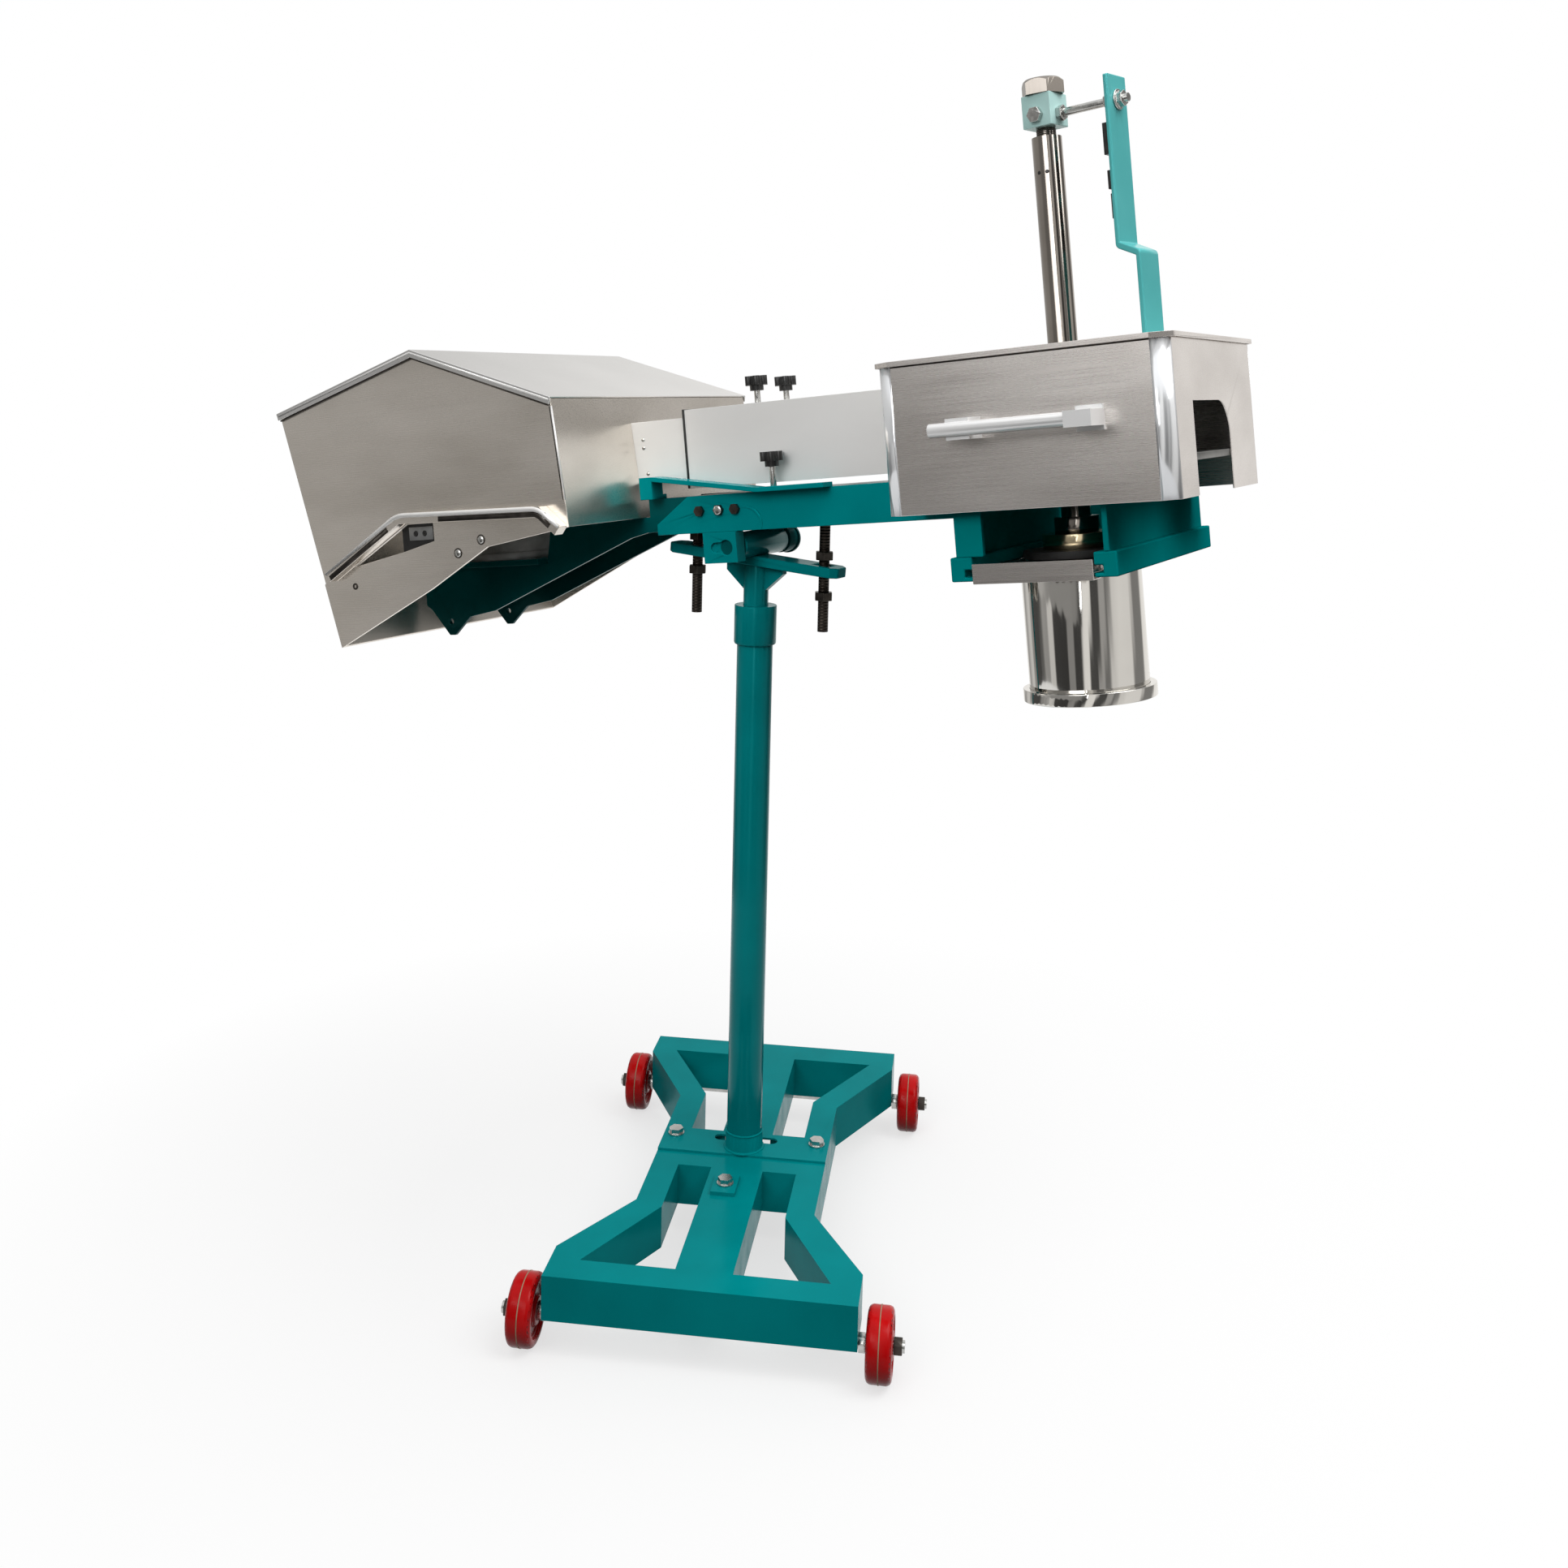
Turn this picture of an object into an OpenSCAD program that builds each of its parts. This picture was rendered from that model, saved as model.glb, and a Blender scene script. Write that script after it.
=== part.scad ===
// Sev press on a wheeled pedestal: a belt driven screw ram over a dough pot, on a swivel and tilt arm.
// Millimetres. Origin on the floor under the post axis, X across the base, Y to the rear, Z up.
// Arm pieces use the arm frame: origin on the tilt pivot, X towards the press head, Z along the ram.

/* [Base] */
// Half width of the base at the wheel ends
base_half_w = 188; // [160:1:230]
// Post axis to the front edge of the base
base_front_len = 344; // [300:1:400]
// Post axis to the rear edge of the base
base_rear_len = 330; // [300:1:400]
// Length of the straight wheel ends at the front
front_end_len = 65; // [50:1:80]
// Length of the straight wheel ends at the rear
rear_end_len = 57; // [50:1:80]
// Half width of the waist
waist_half_w = 116; // [105:1:135]
// Post axis to the front waist bend
front_bend = 157; // [140:1:180]
// Post axis to the rear waist bend
rear_bend = 133; // [120:1:160]
// Width of the side beams at the waist
side_beam_w = 36; // [25:1:45]
// Width of the front cross beam
front_beam_w = 40; // [36:1:55]
// Width of the rear cross beam
rear_beam_w = 47; // [44:1:60]
// Half width of the windows at their outer tips
window_tip_w = 152; // [140:1:165]
// Half width of the central web
web_half_w = 35; // [25:1:45]
// Post axis to the near edge of the front windows
front_window_near = 60; // [50:1:80]
// Post axis to the near edge of the rear windows
rear_window_near = 37; // [34:1:60]
// Window bend beyond the waist bend
window_bend_lag = 12; // [5:1:20]
// Floor to the top of the front half
base_top = 100; // [95:1:120]
// Depth of the base skirts
skirt_h = 55; // [40:1:60]
// Base sheet thickness
base_sheet = 3; // [2:0.5:5]
// Length of the rear half's lip over the front half
seam_lip = 26; // [25:1:40]
// Length of the clearance slot beside the post
foot_slot_l = 88; // [70:1:100]
// Width of the clearance slot beside the post
foot_slot_w = 16; // [10:1:20]
// Sideways place of the seam bolts
seam_bolt_x = 99; // [90:1:105]
// Post axis to the seam bolts
seam_bolt_y = 19; // [12:1:25]
// Post axis to the front web bolt
web_bolt_y = 108; // [90:1:130]
// Front web bolt distance from the middle, to the left
web_bolt_x = 8; // [0:1:15]
// Clamp tab width
tab_w = 32; // [24:1:40]
// Clamp tab length
tab_l = 46; // [30:1:60]
// Clamp tab thickness
tab_t = 5; // [3:0.5:8]
// Post axis to the seam between the halves
seam_off = 3; // [2:0.5:6]

/* [Wheels] */
// Wheel diameter
wheel_d = 84; // [76:1:92]
// Wheel width
wheel_w = 31; // [26:1:40]
// Edge chamfer of the tread
wheel_chamfer = 4; // [2:0.5:6]
// Wheel hub diameter
wheel_hub_d = 34; // [28:1:40]
// Inside diameter of the wheel rim
wheel_rim_d = 62; // [56:1:64]
// Depth of the recess in the wheel face
wheel_recess = 5; // [2:0.5:8]
// Axle diameter
axle_d = 14; // [10:0.5:14]
// Frame to wheel spacer length
spacer_l = 9.5; // [5:0.5:14]
// Spacer diameter
spacer_d = 22; // [18:0.5:26]
// Axle nut across flats
axle_nut_af = 19; // [17:1:24]
// Axle nut thickness
axle_nut_h = 10; // [6:1:14]
// Axle lug thickness
lug_t = 12; // [8:1:20]
// Axle lug length along the base
lug_w = 25; // [22:1:30]
// Axle lug reach under the axle's centre
lug_drop = 3; // [2:0.5:6]
// Front axle to the front edge
front_axle_in = 24; // [20:0.5:26]
// Rear axle to the rear edge
rear_axle_in = 34; // [24:0.5:35]

/* [Post] */
// Post outside diameter
post_d = 48.3; // [48.3, 50.8]
// Post wall
post_wall = 3.6; // [2.5:0.1:4]
// Socket ring wall at the foot
socket_wall = 1.5; // [1:0.5:4]
// Socket ring height
socket_h = 24; // [15:1:40]
// Floor to the top of the sleeve
sleeve_top = 858; // [700:1:870]
// Sleeve outside diameter
sleeve_d = 57; // [54:0.5:62]
// Sleeve length
sleeve_l = 51; // [46:1:70]
// Post length inside the sleeve
sleeve_grip = 21; // [15:1:24]
// Neck tube outside diameter
neck_d = 33.7; // [30:0.1:34]
// Neck tube wall
neck_wall = 4; // [3:0.5:6]
// Neck length below the sleeve top
neck_in = 47; // [35:1:60]
// Thickness of the plate that carries the neck
rest_t = 10; // [6:1:15]

/* [Turret] */
// Floor to the tilt pivot
pivot_z = 942; // [930:1:970]
// Arm swivel at rest
arm_swivel = -22.6; // [-90:0.1:90]
// Arm tilt at rest, head end up
arm_tilt = 6.9; // [4:0.1:8]
// Slope of the cross bar, head end down
cross_tilt = 3.6; // [2:0.1:5]
// Pivot pin diameter
pin_d = 20; // [16:0.5:24]
// Pivot tube outside diameter
tube_d = 35; // [30:0.5:36]
// Half length of the pivot tube
tube_half_l = 54; // [45:1:54]
// Depth of the tube seat in the cross bar
tube_seat = 2; // [1:0.5:4]
// Cross bar length
bar_l = 264; // [250:1:290]
// Cross bar width
bar_w = 40; // [34:1:46]
// Cross bar thickness
bar_t = 13.5; // [10:0.5:16]
// Cross bar corner cut
bar_corner = 9; // [4:1:12]
// Gusset reach from the post axis
gusset_reach = 44; // [34:1:60]
// Gusset drop down the neck
gusset_drop = 34; // [20:1:40]
// Gusset plate thickness
gusset_t = 10; // [6:1:16]
// Gusset tip height
gusset_tip = 10; // [6:1:14]

/* [Stop studs] */
// Stud diameter
stud_d = 14; // [12:0.5:16]
// Rear stud place along the arm, motor side
stud_motor_x = -94.5; // [-100:0.5:-88]
// Stud place along the arm, head side
stud_head_x = 103.5; // [98:0.5:108]
// Floor to the lower end of the motor side stud
stud_motor_low = 839; // [825:1:850]
// Floor to the lower end of the head side stud
stud_head_low = 832; // [820:1:850]
// Stop nut across flats
stop_nut_af = 22; // [19:1:24]
// Stop nut height
stop_nut_h = 11; // [8:1:14]
// Gap from the cross bar to the upper nuts
stop_gap = 7; // [7:0.5:9]
// Gap from the cross bar to the lower nut, motor side
stop_low_motor = 15; // [12:1:25]
// Gap from the cross bar to the lower nut, head side
stop_low_head = 22; // [12:1:25]
// Slot length round the studs
stud_slot_l = 24; // [22:1:28]
// Slot width round the studs
stud_slot_w = 18; // [17:1:22]

/* [Beam] */
// Upper end of the beam on the motor side
beam_start = -56; // [-60:1:-54]
// Reach of the beam's lower corner past its upper end
beam_toe = 52; // [40:1:54]
// Height of the beam's lower corner
beam_toe_h = 14; // [8:1:20]
// Beam half width
beam_half_w = 75; // [72:1:80]
// Beam underside above the pivot
beam_low = 20.5; // [19:0.5:24]
// Beam height
beam_h = 49; // [46:1:54]
// Beam wall thickness
beam_t = 8; // [5:0.5:8]
// Through bolt diameter
beam_bolt_d = 7.5; // [6:0.5:10]
// Through bolt height above the beam underside
beam_bolt_rise = 29; // [24:1:32]
// First through bolt place
beam_bolt_a = -38; // [-42:1:-34]
// Second through bolt place
beam_bolt_b = -8; // [-12:1:-4]
// Third through bolt place
beam_bolt_c = 17; // [13:1:21]
// Pivot block length
block_l = 51; // [46:1:56]
// Pivot block centre along the arm
block_x = -9; // [-10:1:-6]
// Pivot block width
block_w = 20; // [16:1:20]
// Pivot block drop below the pivot
block_drop = 20; // [16:1:24]
// Block face beyond the beam face
block_out = 4; // [3:0.5:6]
// Slot length on the block face
block_slot_l = 28; // [24:1:32]
// Slot width on the block face
block_slot_w = 14; // [10:1:16]
// Slot depth on the block face
block_slot_t = 4; // [2:0.5:6]
// Pivot bush diameter
bush_d = 37; // [32:0.5:38]
// Pivot bush flange diameter
bush_flange_d = 41; // [38:0.5:44]
// Pivot bush flange thickness
bush_flange_t = 4; // [3:0.5:6]
// Bush saddle length
saddle_l = 28; // [20:1:34]

/* [Cradle] */
// Cradle plate thickness
cradle_t = 6; // [4:0.5:8]
// Cradle end inside the beam
cradle_end = 45; // [30:1:60]
// Cradle lower edge above the beam underside
cradle_rise = 4; // [2:1:8]
// Gap from the cradle plates to the web of the beam
cradle_gap = 2; // [1:0.5:4]
// Cradle top beside the housing
cradle_top = 45; // [45:1:46]
// Motor deck level
motor_deck = -10; // [-14:1:-6]
// Cradle end on the motor side
cradle_start = -538; // [-540:1:-530]
// Step from the beam side to the motor deck
cradle_step = -300; // [-304:1:-296]
// Half length of the step to the motor deck
step_half_l = 6; // [4:1:10]
// Belly of the lower edge along the arm
belly_x = -408; // [-412:1:-404]
// Belly level below the tab root
belly_drop = 10; // [6:1:14]
// End of the sloped lower edge along the arm
slope_end_x = -159; // [-165:1:-150]
// Length of the level lower edge up to the beam
slope_run = 29; // [20:1:36]
// Thickness of the stud tie between the cradle plates
tie_t = 10; // [6:1:14]
// Length of the stud tie between the cradle plates
tie_l = 46; // [40:1:52]
// Level of the cradle's lower corner on the motor side
tab_root = -64; // [-68:1:-60]
// Tab tip place along the arm
tab_tip_x = -493; // [-500:1:-485]
// Tab tip level
tab_tip_z = -108; // [-112:1:-100]
// Tab half width at the plate
tab_half_w = 36; // [30:1:40]
// Tab half width at the tip
tab_tip_half_w = 5; // [3:0.5:8]
// Tab shoulder below the root on the motor side
tab_fall_motor = 6; // [3:1:10]
// Tab shoulder below the root on the head side
tab_fall_head = 18; // [12:1:22]
// Tab hole diameter
tab_hole_d = 8; // [5:0.5:10]
// Tab hole above the tip
tab_hole_up = 20; // [14:1:26]
// Motor plate thickness
motor_plate_t = 8; // [6:0.5:10]
// Motor plate half width
motor_plate_half_w = 85; // [80:1:100]
// Motor plate ends inside the cradle
motor_plate_in = 8; // [6:1:12]
// Strip width
strip_w = 26; // [20:1:28]
// Strip thickness
strip_t = 6; // [4:0.5:7]
// Strip left end
strip_start = -118; // [-122:1:-112]
// Strip landing on the beam
strip_land = 62; // [55:1:70]
// Strip right end
strip_end = 160; // [140:1:180]
// Strip left end level
strip_high = 93; // [88:1:98]
// Bracket length under the strip end
bracket_l = 20; // [14:1:26]
// Gap from the strip to the duct
strip_gap = 1; // [0.5:0.5:3]

/* [Motor and belt] */
// Motor axis along the arm
motor_x = -400; // [-405:1:-395]
// Motor body diameter
motor_d = 150; // [120:1:160]
// Motor flange diameter
motor_flange_d = 165; // [150:1:168]
// Motor flange thickness
motor_flange_t = 10; // [8:1:14]
// Motor body height above its flange
motor_h = 96; // [90:1:98]
// Motor shaft diameter
shaft_d = 24; // [19:1:28]
// Shaft length inside the motor
shaft_in = 30; // [20:1:40]
// Belt mid level
belt_z = 132; // [130:1:134]
// Belt height
belt_h = 12; // [10:1:14]
// Belt thickness
belt_t = 8; // [6:1:9]
// Motor pulley belt radius
small_r = 35; // [30:1:38]
// Driven pulley belt radius
large_r = 58; // [50:1:60]
// Pulley height
pulley_h = 28; // [24:1:30]
// Pulley flange reach past the belt seat
pulley_flange = 7; // [5:1:8]

/* [Motor housing] */
// Half depth of the housing
housing_half_w = 232; // [210:1:250]
// Housing sheet thickness
housing_sheet = 2; // [1:0.5:3]
// Motor side eave along the arm
eave_motor_x = -630; // [-640:1:-610]
// Motor side eave level
eave_motor_z = 229; // [220:1:240]
// Ridge along the arm
ridge_x = -373; // [-385:1:-360]
// Ridge level
ridge_z = 292; // [280:1:310]
// Head side eave along the arm
eave_head_x = -146; // [-150:1:-144]
// Head side eave level
eave_head_z = 209; // [200:1:215]
// Head side wall foot along the arm
wall_foot_x = -133; // [-135:1:-131]
// Motor side wall foot along the arm
toe_x = -545; // [-550:1:-541]
// Motor side wall foot level
toe_z = -103; // [-112:1:-98]
// Lower edge middle point along the arm
lower_mid_x = -369; // [-375:1:-360]
// Lower edge middle level
lower_mid_z = -26; // [-30:1:-22]
// Lower edge knee along the arm
lower_knee_x = -267; // [-275:1:-260]
// Lower edge knee level
lower_knee_z = 26; // [22:1:30]
// Roof sheet thickness
roof_t = 2.5; // [1.5:0.5:4]
// Roof overhang past the panels
roof_over = 4; // [3:0.5:8]
// Roof lip depth
roof_lip = 8; // [6:1:12]
// Skirt band height
band_h = 14; // [10:1:16]
// Skirt band reach from the panel
band_out = 14; // [10:1:20]
// Band toe along the arm
band_toe_x = -549; // [-555:1:-545]
// Band toe level
band_toe_z = 3; // [0:1:8]
// Band knee along the arm
band_knee_x = -410; // [-416:1:-404]
// Band knee level
band_knee_z = 78; // [74:1:84]
// Band end bend along the arm
band_end_x = -166; // [-172:1:-160]
// Band end bend level
band_end_z = 74; // [70:1:80]
// Skirt edge below the upper edge of the band
skirt_under = 2; // [1:0.5:4]
// Skirt corner level on the motor side wall
skirt_corner_z = -14; // [-20:1:-8]
// Hand hole toe along the arm
hole_toe_x = -505; // [-510:1:-500]
// Hand hole toe level
hole_toe_z = 9; // [6:1:10]
// Hand hole lower bend along the arm
hole_mid_x = -411; // [-416:1:-406]
// Hand hole lower bend level
hole_mid_z = 26; // [22:1:30]
// Hand hole end along the arm
hole_end_x = -358; // [-364:1:-350]
// Hand hole end level
hole_end_z = 38; // [34:1:42]
// Hand hole upper edge level
hole_top = 62; // [56:1:62]
// Hand hole upper bend along the arm
hole_top_x = -405; // [-410:1:-400]
// Switch box end along the arm
switch_x = -418; // [-422:1:-414]
// Switch box length
switch_l = 83; // [76:1:90]
// Switch box underside level
switch_low = 22; // [18:1:26]
// Switch box height
switch_h = 66; // [60:1:72]
// Switch box depth
switch_t = 25; // [18:1:30]

/* [Duct] */
// Duct half width
duct_half_w = 68; // [68:0.5:68.5]
// Duct underside level
duct_low = 80; // [79:1:82]
// Duct height
duct_h = 104; // [98:1:108]
// Duct end on the motor side
duct_start = -56; // [-60:1:-50]
// Duct sheet thickness
duct_sheet = 2; // [1:0.5:2]
// Sleeve underside level
sleeve_low = 92; // [90:1:96]
// Duct sleeve height
duct_sleeve_h = 82; // [76:1:86]
// Sleeve length inside the duct
sleeve_in = 16; // [10:1:30]
// Sleeve length inside the housing past its eave
sleeve_out = 4; // [2:1:8]

/* [Knobs] */
// Knob head diameter
knob_d = 24; // [20:1:24]
// Knob lobe circle radius
knob_lobe_r = 11.5; // [10:0.5:12]
// Knob lobe diameter
knob_lobe_d = 9; // [7:0.5:10]
// Number of knob lobes
knob_lobes = 6; // [5:1:8]
// Knob head height
knob_h = 12; // [8:1:16]
// Knob neck diameter
knob_neck_d = 18; // [14:1:20]
// Knob neck height
knob_neck_h = 7; // [5:1:10]
// Knob stud diameter
knob_stud_d = 8; // [6:0.5:10]
// Visible stud length under the top knobs
top_stud_l = 17; // [12:1:24]
// Visible stud length under the front knob
front_stud_l = 25; // [18:1:30]
// Stud length inside the knob
knob_stud_in = 12; // [8:1:14]
// Top knobs along the arm
top_knob_x = 42; // [20:1:80]
// Top knob distance from the duct middle
top_knob_y = 38; // [30:1:50]
// Front knob along the arm
front_knob_x = 84; // [70:1:100]
// Front knob distance from the arm middle
front_knob_y = 86; // [85:0.5:88]

/* [Head box] */
// Ram axis along the arm
ram_x = 451; // [448:1:454]
// Box middle beyond the ram axis
box_shift = 6; // [4:1:8]
// Box half length
box_half_l = 172; // [168:1:176]
// Box half depth
box_half_w = 176; // [176:1:185]
// Box corner cut along the arm
box_cut_x = 20; // [12:1:26]
// Box corner cut across the arm
box_cut_y = 13; // [10:1:18]
// Box lower edge level
box_low = 31; // [30:1:34]
// Box height under the lid
box_h = 176; // [172:1:182]
// Box sheet thickness
box_sheet = 2; // [1:0.5:2]
// Lid overhang
lid_over = 5; // [3:0.5:8]
// Lid lip depth
lid_lip = 4; // [3:0.5:8]
// Side notch front edge
notch_front = -98; // [-104:1:-90]
// Side notch rear edge
notch_rear = 50; // [40:1:60]
// Side notch height
notch_h = 104; // [95:1:110]
// Side notch corner radius
notch_r = 42; // [30:1:50]
// Gap round the beam in the box wall
beam_gap = 2; // [1:0.5:4]
// Handle bar diameter
handle_d = 16; // [12:0.5:18]
// Handle bar length
handle_l = 190; // [170:1:200]
// Handle bar centre along the arm
handle_x = 460; // [450:1:470]
// Handle bar level
handle_z = 125; // [115:1:135]
// Handle stand off
handle_out = 36; // [30:1:45]
// Length of the end foot, at the head end of the bar
end_foot_l = 31; // [26:1:36]
// Height of the end foot
end_foot_h = 18; // [17:0.5:24]
// End foot cover in front of the bar
end_foot_t = 1.5; // [1:0.5:4]
// Wall flange height of the end foot
flange_h = 28; // [26:1:34]
// Wall flange thickness of the end foot
flange_t = 5; // [3:0.5:8]
// Length of the other foot
foot_l = 28; // [20:1:32]
// Height of the other foot
foot_h = 24; // [18:1:26]
// Other foot from its end of the bar
foot_in = 19; // [12:1:26]

/* [Head frame] */
// Head frame half length
head_half_l = 91; // [90:1:92]
// Head frame front face
head_front = 157; // [150:1:165]
// Head frame rear face
head_rear = 210; // [200:1:215]
// Head plate thickness
head_t = 7; // [5:0.5:8]
// Front return width on the motor side
return_w = 34; // [25:1:38]
// Deck plate level
deck_z = 70; // [70:1:72]
// Deck plate thickness
deck_t = 8; // [6:1:10]
// Rail top level
rail_top = -21; // [-22:1:-20]
// Rail height
rail_h = 28; // [26:1:32]
// Rail width
rail_w = 27; // [25:1:27]
// Rail length past the head frame
rail_past = 10; // [5:1:14]
// Rail groove depth
groove_in = 10; // [8:0.5:12]
// Bearing housing diameter
bearing_d = 110; // [100:1:120]
// Bearing housing height
bearing_h = 38; // [37:0.5:38.5]
// Bearing ledge thickness
bearing_ledge = 6; // [4:0.5:10]
// Pulley hub diameter
hub_d = 60; // [56:1:66]
// Screw nut outside diameter
nut_d = 48; // [44:1:50]
// Guide block thickness
guide_t = 14; // [10:1:18]
// Guide block wall
guide_wall = 8; // [6:1:8]

/* [Ram] */
// Ram diameter
ram_d = 36; // [32:0.5:38]
// Ram shoulder level
ram_top = 466; // [450:1:480]
// Ram neck diameter
ram_neck_d = 22; // [18:0.5:24]
// Neck length under the collar
ram_neck_l = 11; // [6:1:16]
// Turn of the torque arm about the ram
torque_yaw = -11; // [-13:0.5:-8]
// Collar side
collar_w = 39; // [36:1:42]
// Collar height
collar_h = 39; // [34:1:44]
// Top nut across flats
top_nut_af = 46; // [40:1:50]
// Top nut height
top_nut_h = 19; // [15:1:26]
// Bevel on the top nut
top_nut_bevel = 5; // [3:0.5:6]
// Torque rod diameter
rod_d = 10; // [8:0.5:12]
// Rod level above the collar foot
rod_rise = 14; // [12:1:24]
// Rod nut across flats
rod_nut_af = 17; // [14:1:19]
// Rod nut height
rod_nut_h = 7; // [5:0.5:10]
// Rod washer diameter
rod_washer_d = 24; // [20:0.5:26]
// Rod washer thickness
rod_washer_t = 2; // [1:0.5:3]
// Guide bar inner face from the ram axis
guide_r = 92; // [90:1:96]
// Guide bar thickness
guide_bar_t = 6; // [5:0.5:8]
// Guide bar width
guide_bar_w = 44; // [36:1:48]
// Guide bar height above the torque rod
guide_over = 28; // [20:1:36]
// Torque rod to the joggle of the guide bar
joggle_down = 172; // [165:1:180]
// Joggle drop
joggle_drop = 12; // [6:1:18]
// Joggle reach
joggle_out = 25; // [18:1:26]
// Outer radius of the guide bar bends
bend_r = 7; // [6:0.5:10]
// Guide bar length below the top of the box
guide_engage = 23; // [19:1:25]
// Guide window play on the inner side of the bar
guide_play_in = 2; // [1:0.5:4]
// Guide window play on the outer side of the bar
guide_play_out = 3; // [2:0.5:4]
// Torque rod to the upper end of the thick cam pad
pad_a_down = 27; // [24:1:30]
// Length of the thick cam pad
pad_a_l = 37; // [30:1:40]
// Thickness of the thick cam pad
pad_a_t = 6; // [4:0.5:8]
// Torque rod to the upper end of the middle cam pad
pad_b_down = 82; // [78:1:86]
// Length of the middle cam pad
pad_b_l = 22; // [16:1:24]
// Thickness of the middle cam pad
pad_b_t = 4; // [3:0.5:6]
// Torque rod to the upper end of the thin cam pad
pad_c_down = 109; // [107:1:113]
// Length of the thin cam pad
pad_c_l = 29; // [20:1:34]
// Thickness of the thin cam pad
pad_c_t = 2; // [1:0.5:3]
// Cam pad edge inside the edge of the bar
pad_in = 2; // [1:0.5:4]
// Piston face above the slide plate
piston_rise = 1; // [0.5:0.5:2]
// Piston diameter
piston_d = 134; // [128:0.5:136]
// Piston thickness
piston_t = 9; // [6:0.5:9.5]
// Brass ring diameter
brass_d = 85; // [70:1:100]
// Brass ring thickness
brass_t = 18.5; // [12:0.5:20]
// Ram hub diameter
ram_hub_d = 54; // [46:1:60]
// Ram hub height
ram_hub_h = 19; // [12:1:24]

/* [Pot] */
// Pot outside diameter
pot_d = 143; // [140:0.5:144]
// Pot wall
pot_wall = 4; // [3:0.5:4]
// Pot height
pot_h = 162; // [155:1:175]
// Slide plate top below the rail top
slide_drop = 15; // [13:0.5:16]
// Slide plate thickness
slide_t = 8; // [6:0.5:9]
// Slide plate tongues set back from the front of the rails
tongue_in = 22; // [15:1:30]
// Slide plate rear reach
slide_rear = 84; // [78:1:95]
// Lip height above the slide plate top
lip_up = 7; // [4:0.5:8]
// Lip height below the slide plate top
lip_down = 16; // [12:1:20]
// Lip sheet thickness
lip_t = 2; // [1.5:0.5:3]
// Lip return depth
lip_return = 25; // [15:1:30]
// Cap diameter
cap_d = 159; // [154:1:166]
// Cap height
cap_h = 15; // [12:1:20]
// Cap floor thickness
cap_floor = 5; // [4:0.5:7]
// Cap opening diameter
cap_open_d = 124; // [110:1:126]
// Die plate thickness
die_t = 3; // [2:0.5:4]
// Die hole diameter
die_hole_d = 6; // [3:0.5:8]
// Die hole pitch
die_pitch = 17; // [14:0.5:20]
// Rings of die holes
die_rings = 3; // [2:1:3]

/* [Fits] */
// Radial running clearance of turning fits
run_gap = 0.05; // [0.02:0.01:0.1]
// Gap between pieces that move past each other
free_gap = 0.5; // [0.4:0.1:1]
// Gap beside turning faces
end_gap = 0.4; // [0.3:0.1:0.8]
// Gap round the ram in the deck and the lid
ram_gap = 4; // [3:0.5:5]
// Radial clearance of bolt holes
bolt_gap = 0.2; // [0.1:0.1:0.5]
// Frame bolt diameter
frame_bolt_d = 10; // [8:0.5:12]
// Frame bolt length under the head
frame_bolt_l = 16; // [14:1:30]

/* [Hidden] */
$fn = 64;
cut = 1;
far = 2000;
hex_share = 1.7;
head_share = 0.65;
nut_share = 0.8;
washer_share = 2.2;
seam_y = -seam_off;
rear_top = base_top + base_sheet;
skirt_low = base_top - skirt_h;
wheel_x = base_half_w + spacer_l + wheel_w / 2;
axle_z = wheel_d / 2;
front_axle_y = front_axle_in - base_front_len;
rear_axle_y = base_rear_len - rear_axle_in;
inner_waist = waist_half_w - side_beam_w;
axle_half_l = wheel_x + wheel_w / 2 + end_gap + axle_nut_h + base_sheet;
post_top = sleeve_top - sleeve_l + sleeve_grip;
post_bore = post_d - 2 * post_wall;
neck_low = sleeve_top - neck_in;
bar_top = tube_seat - tube_d / 2;
bar_low = bar_top - bar_t;
web_z = beam_low + beam_h - beam_t;
beam_top = beam_low + beam_h;
head_x0 = ram_x - head_half_l;
head_x1 = ram_x + head_half_l;
bolt_z = beam_low + beam_bolt_rise;
beam_bolts_x = [beam_bolt_a, beam_bolt_b, beam_bolt_c];
cradle_y = beam_half_w - beam_t - cradle_t;
tie_low = cradle_top - tie_t;
motor_base = motor_deck + motor_plate_t;
motor_top = motor_base + motor_flange_t + motor_h;
pulley_low = belt_z - pulley_h / 2;
pulley_top = belt_z + pulley_h / 2;
belt_span = ram_x - motor_x;
belt_steps = 40;
belt_lean = asin((large_r - small_r) / belt_span);
box_top = box_low + box_h;
box_x0 = ram_x + box_shift - box_half_l;
box_x1 = ram_x + box_shift + box_half_l;
rail_low = rail_top - rail_h;
rail_gap_half = pot_d / 2 + free_gap;
rail_out = rail_gap_half + rail_w;
slide_top = rail_top - slide_drop;
slide_low = slide_top - slide_t;
slide_half_w = rail_gap_half + groove_in - 2 * end_gap;
pot_low = slide_top - pot_h;
die_top = pot_low - end_gap;
die_low = die_top - die_t;
cap_low = die_low - cap_floor;
cap_bore = pot_d + 2 * run_gap;
piston_low = slide_top + piston_rise;
piston_top = piston_low + piston_t;
brass_top = piston_top + brass_t;
collar_low = ram_top + ram_neck_l;
collar_top = collar_low + collar_h;
rod_z = collar_low + rod_rise;
guide_out_r = guide_r + guide_bar_t;
guide_top = rod_z + guide_over;
guide_low = box_top - guide_engage;
joggle_z = rod_z - joggle_down;
guide_way_x0 = guide_r - guide_play_in;
guide_way_x1 = guide_out_r + joggle_out + guide_play_out;
rod_end = guide_out_r + rod_washer_t + rod_nut_h + rod_d / 2;
pot_bore = pot_d - 2 * pot_wall;
deck_top = deck_z + deck_t;
hub_low = deck_top + bearing_ledge + end_gap;
ram_way = ram_d + 2 * ram_gap;

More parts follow.
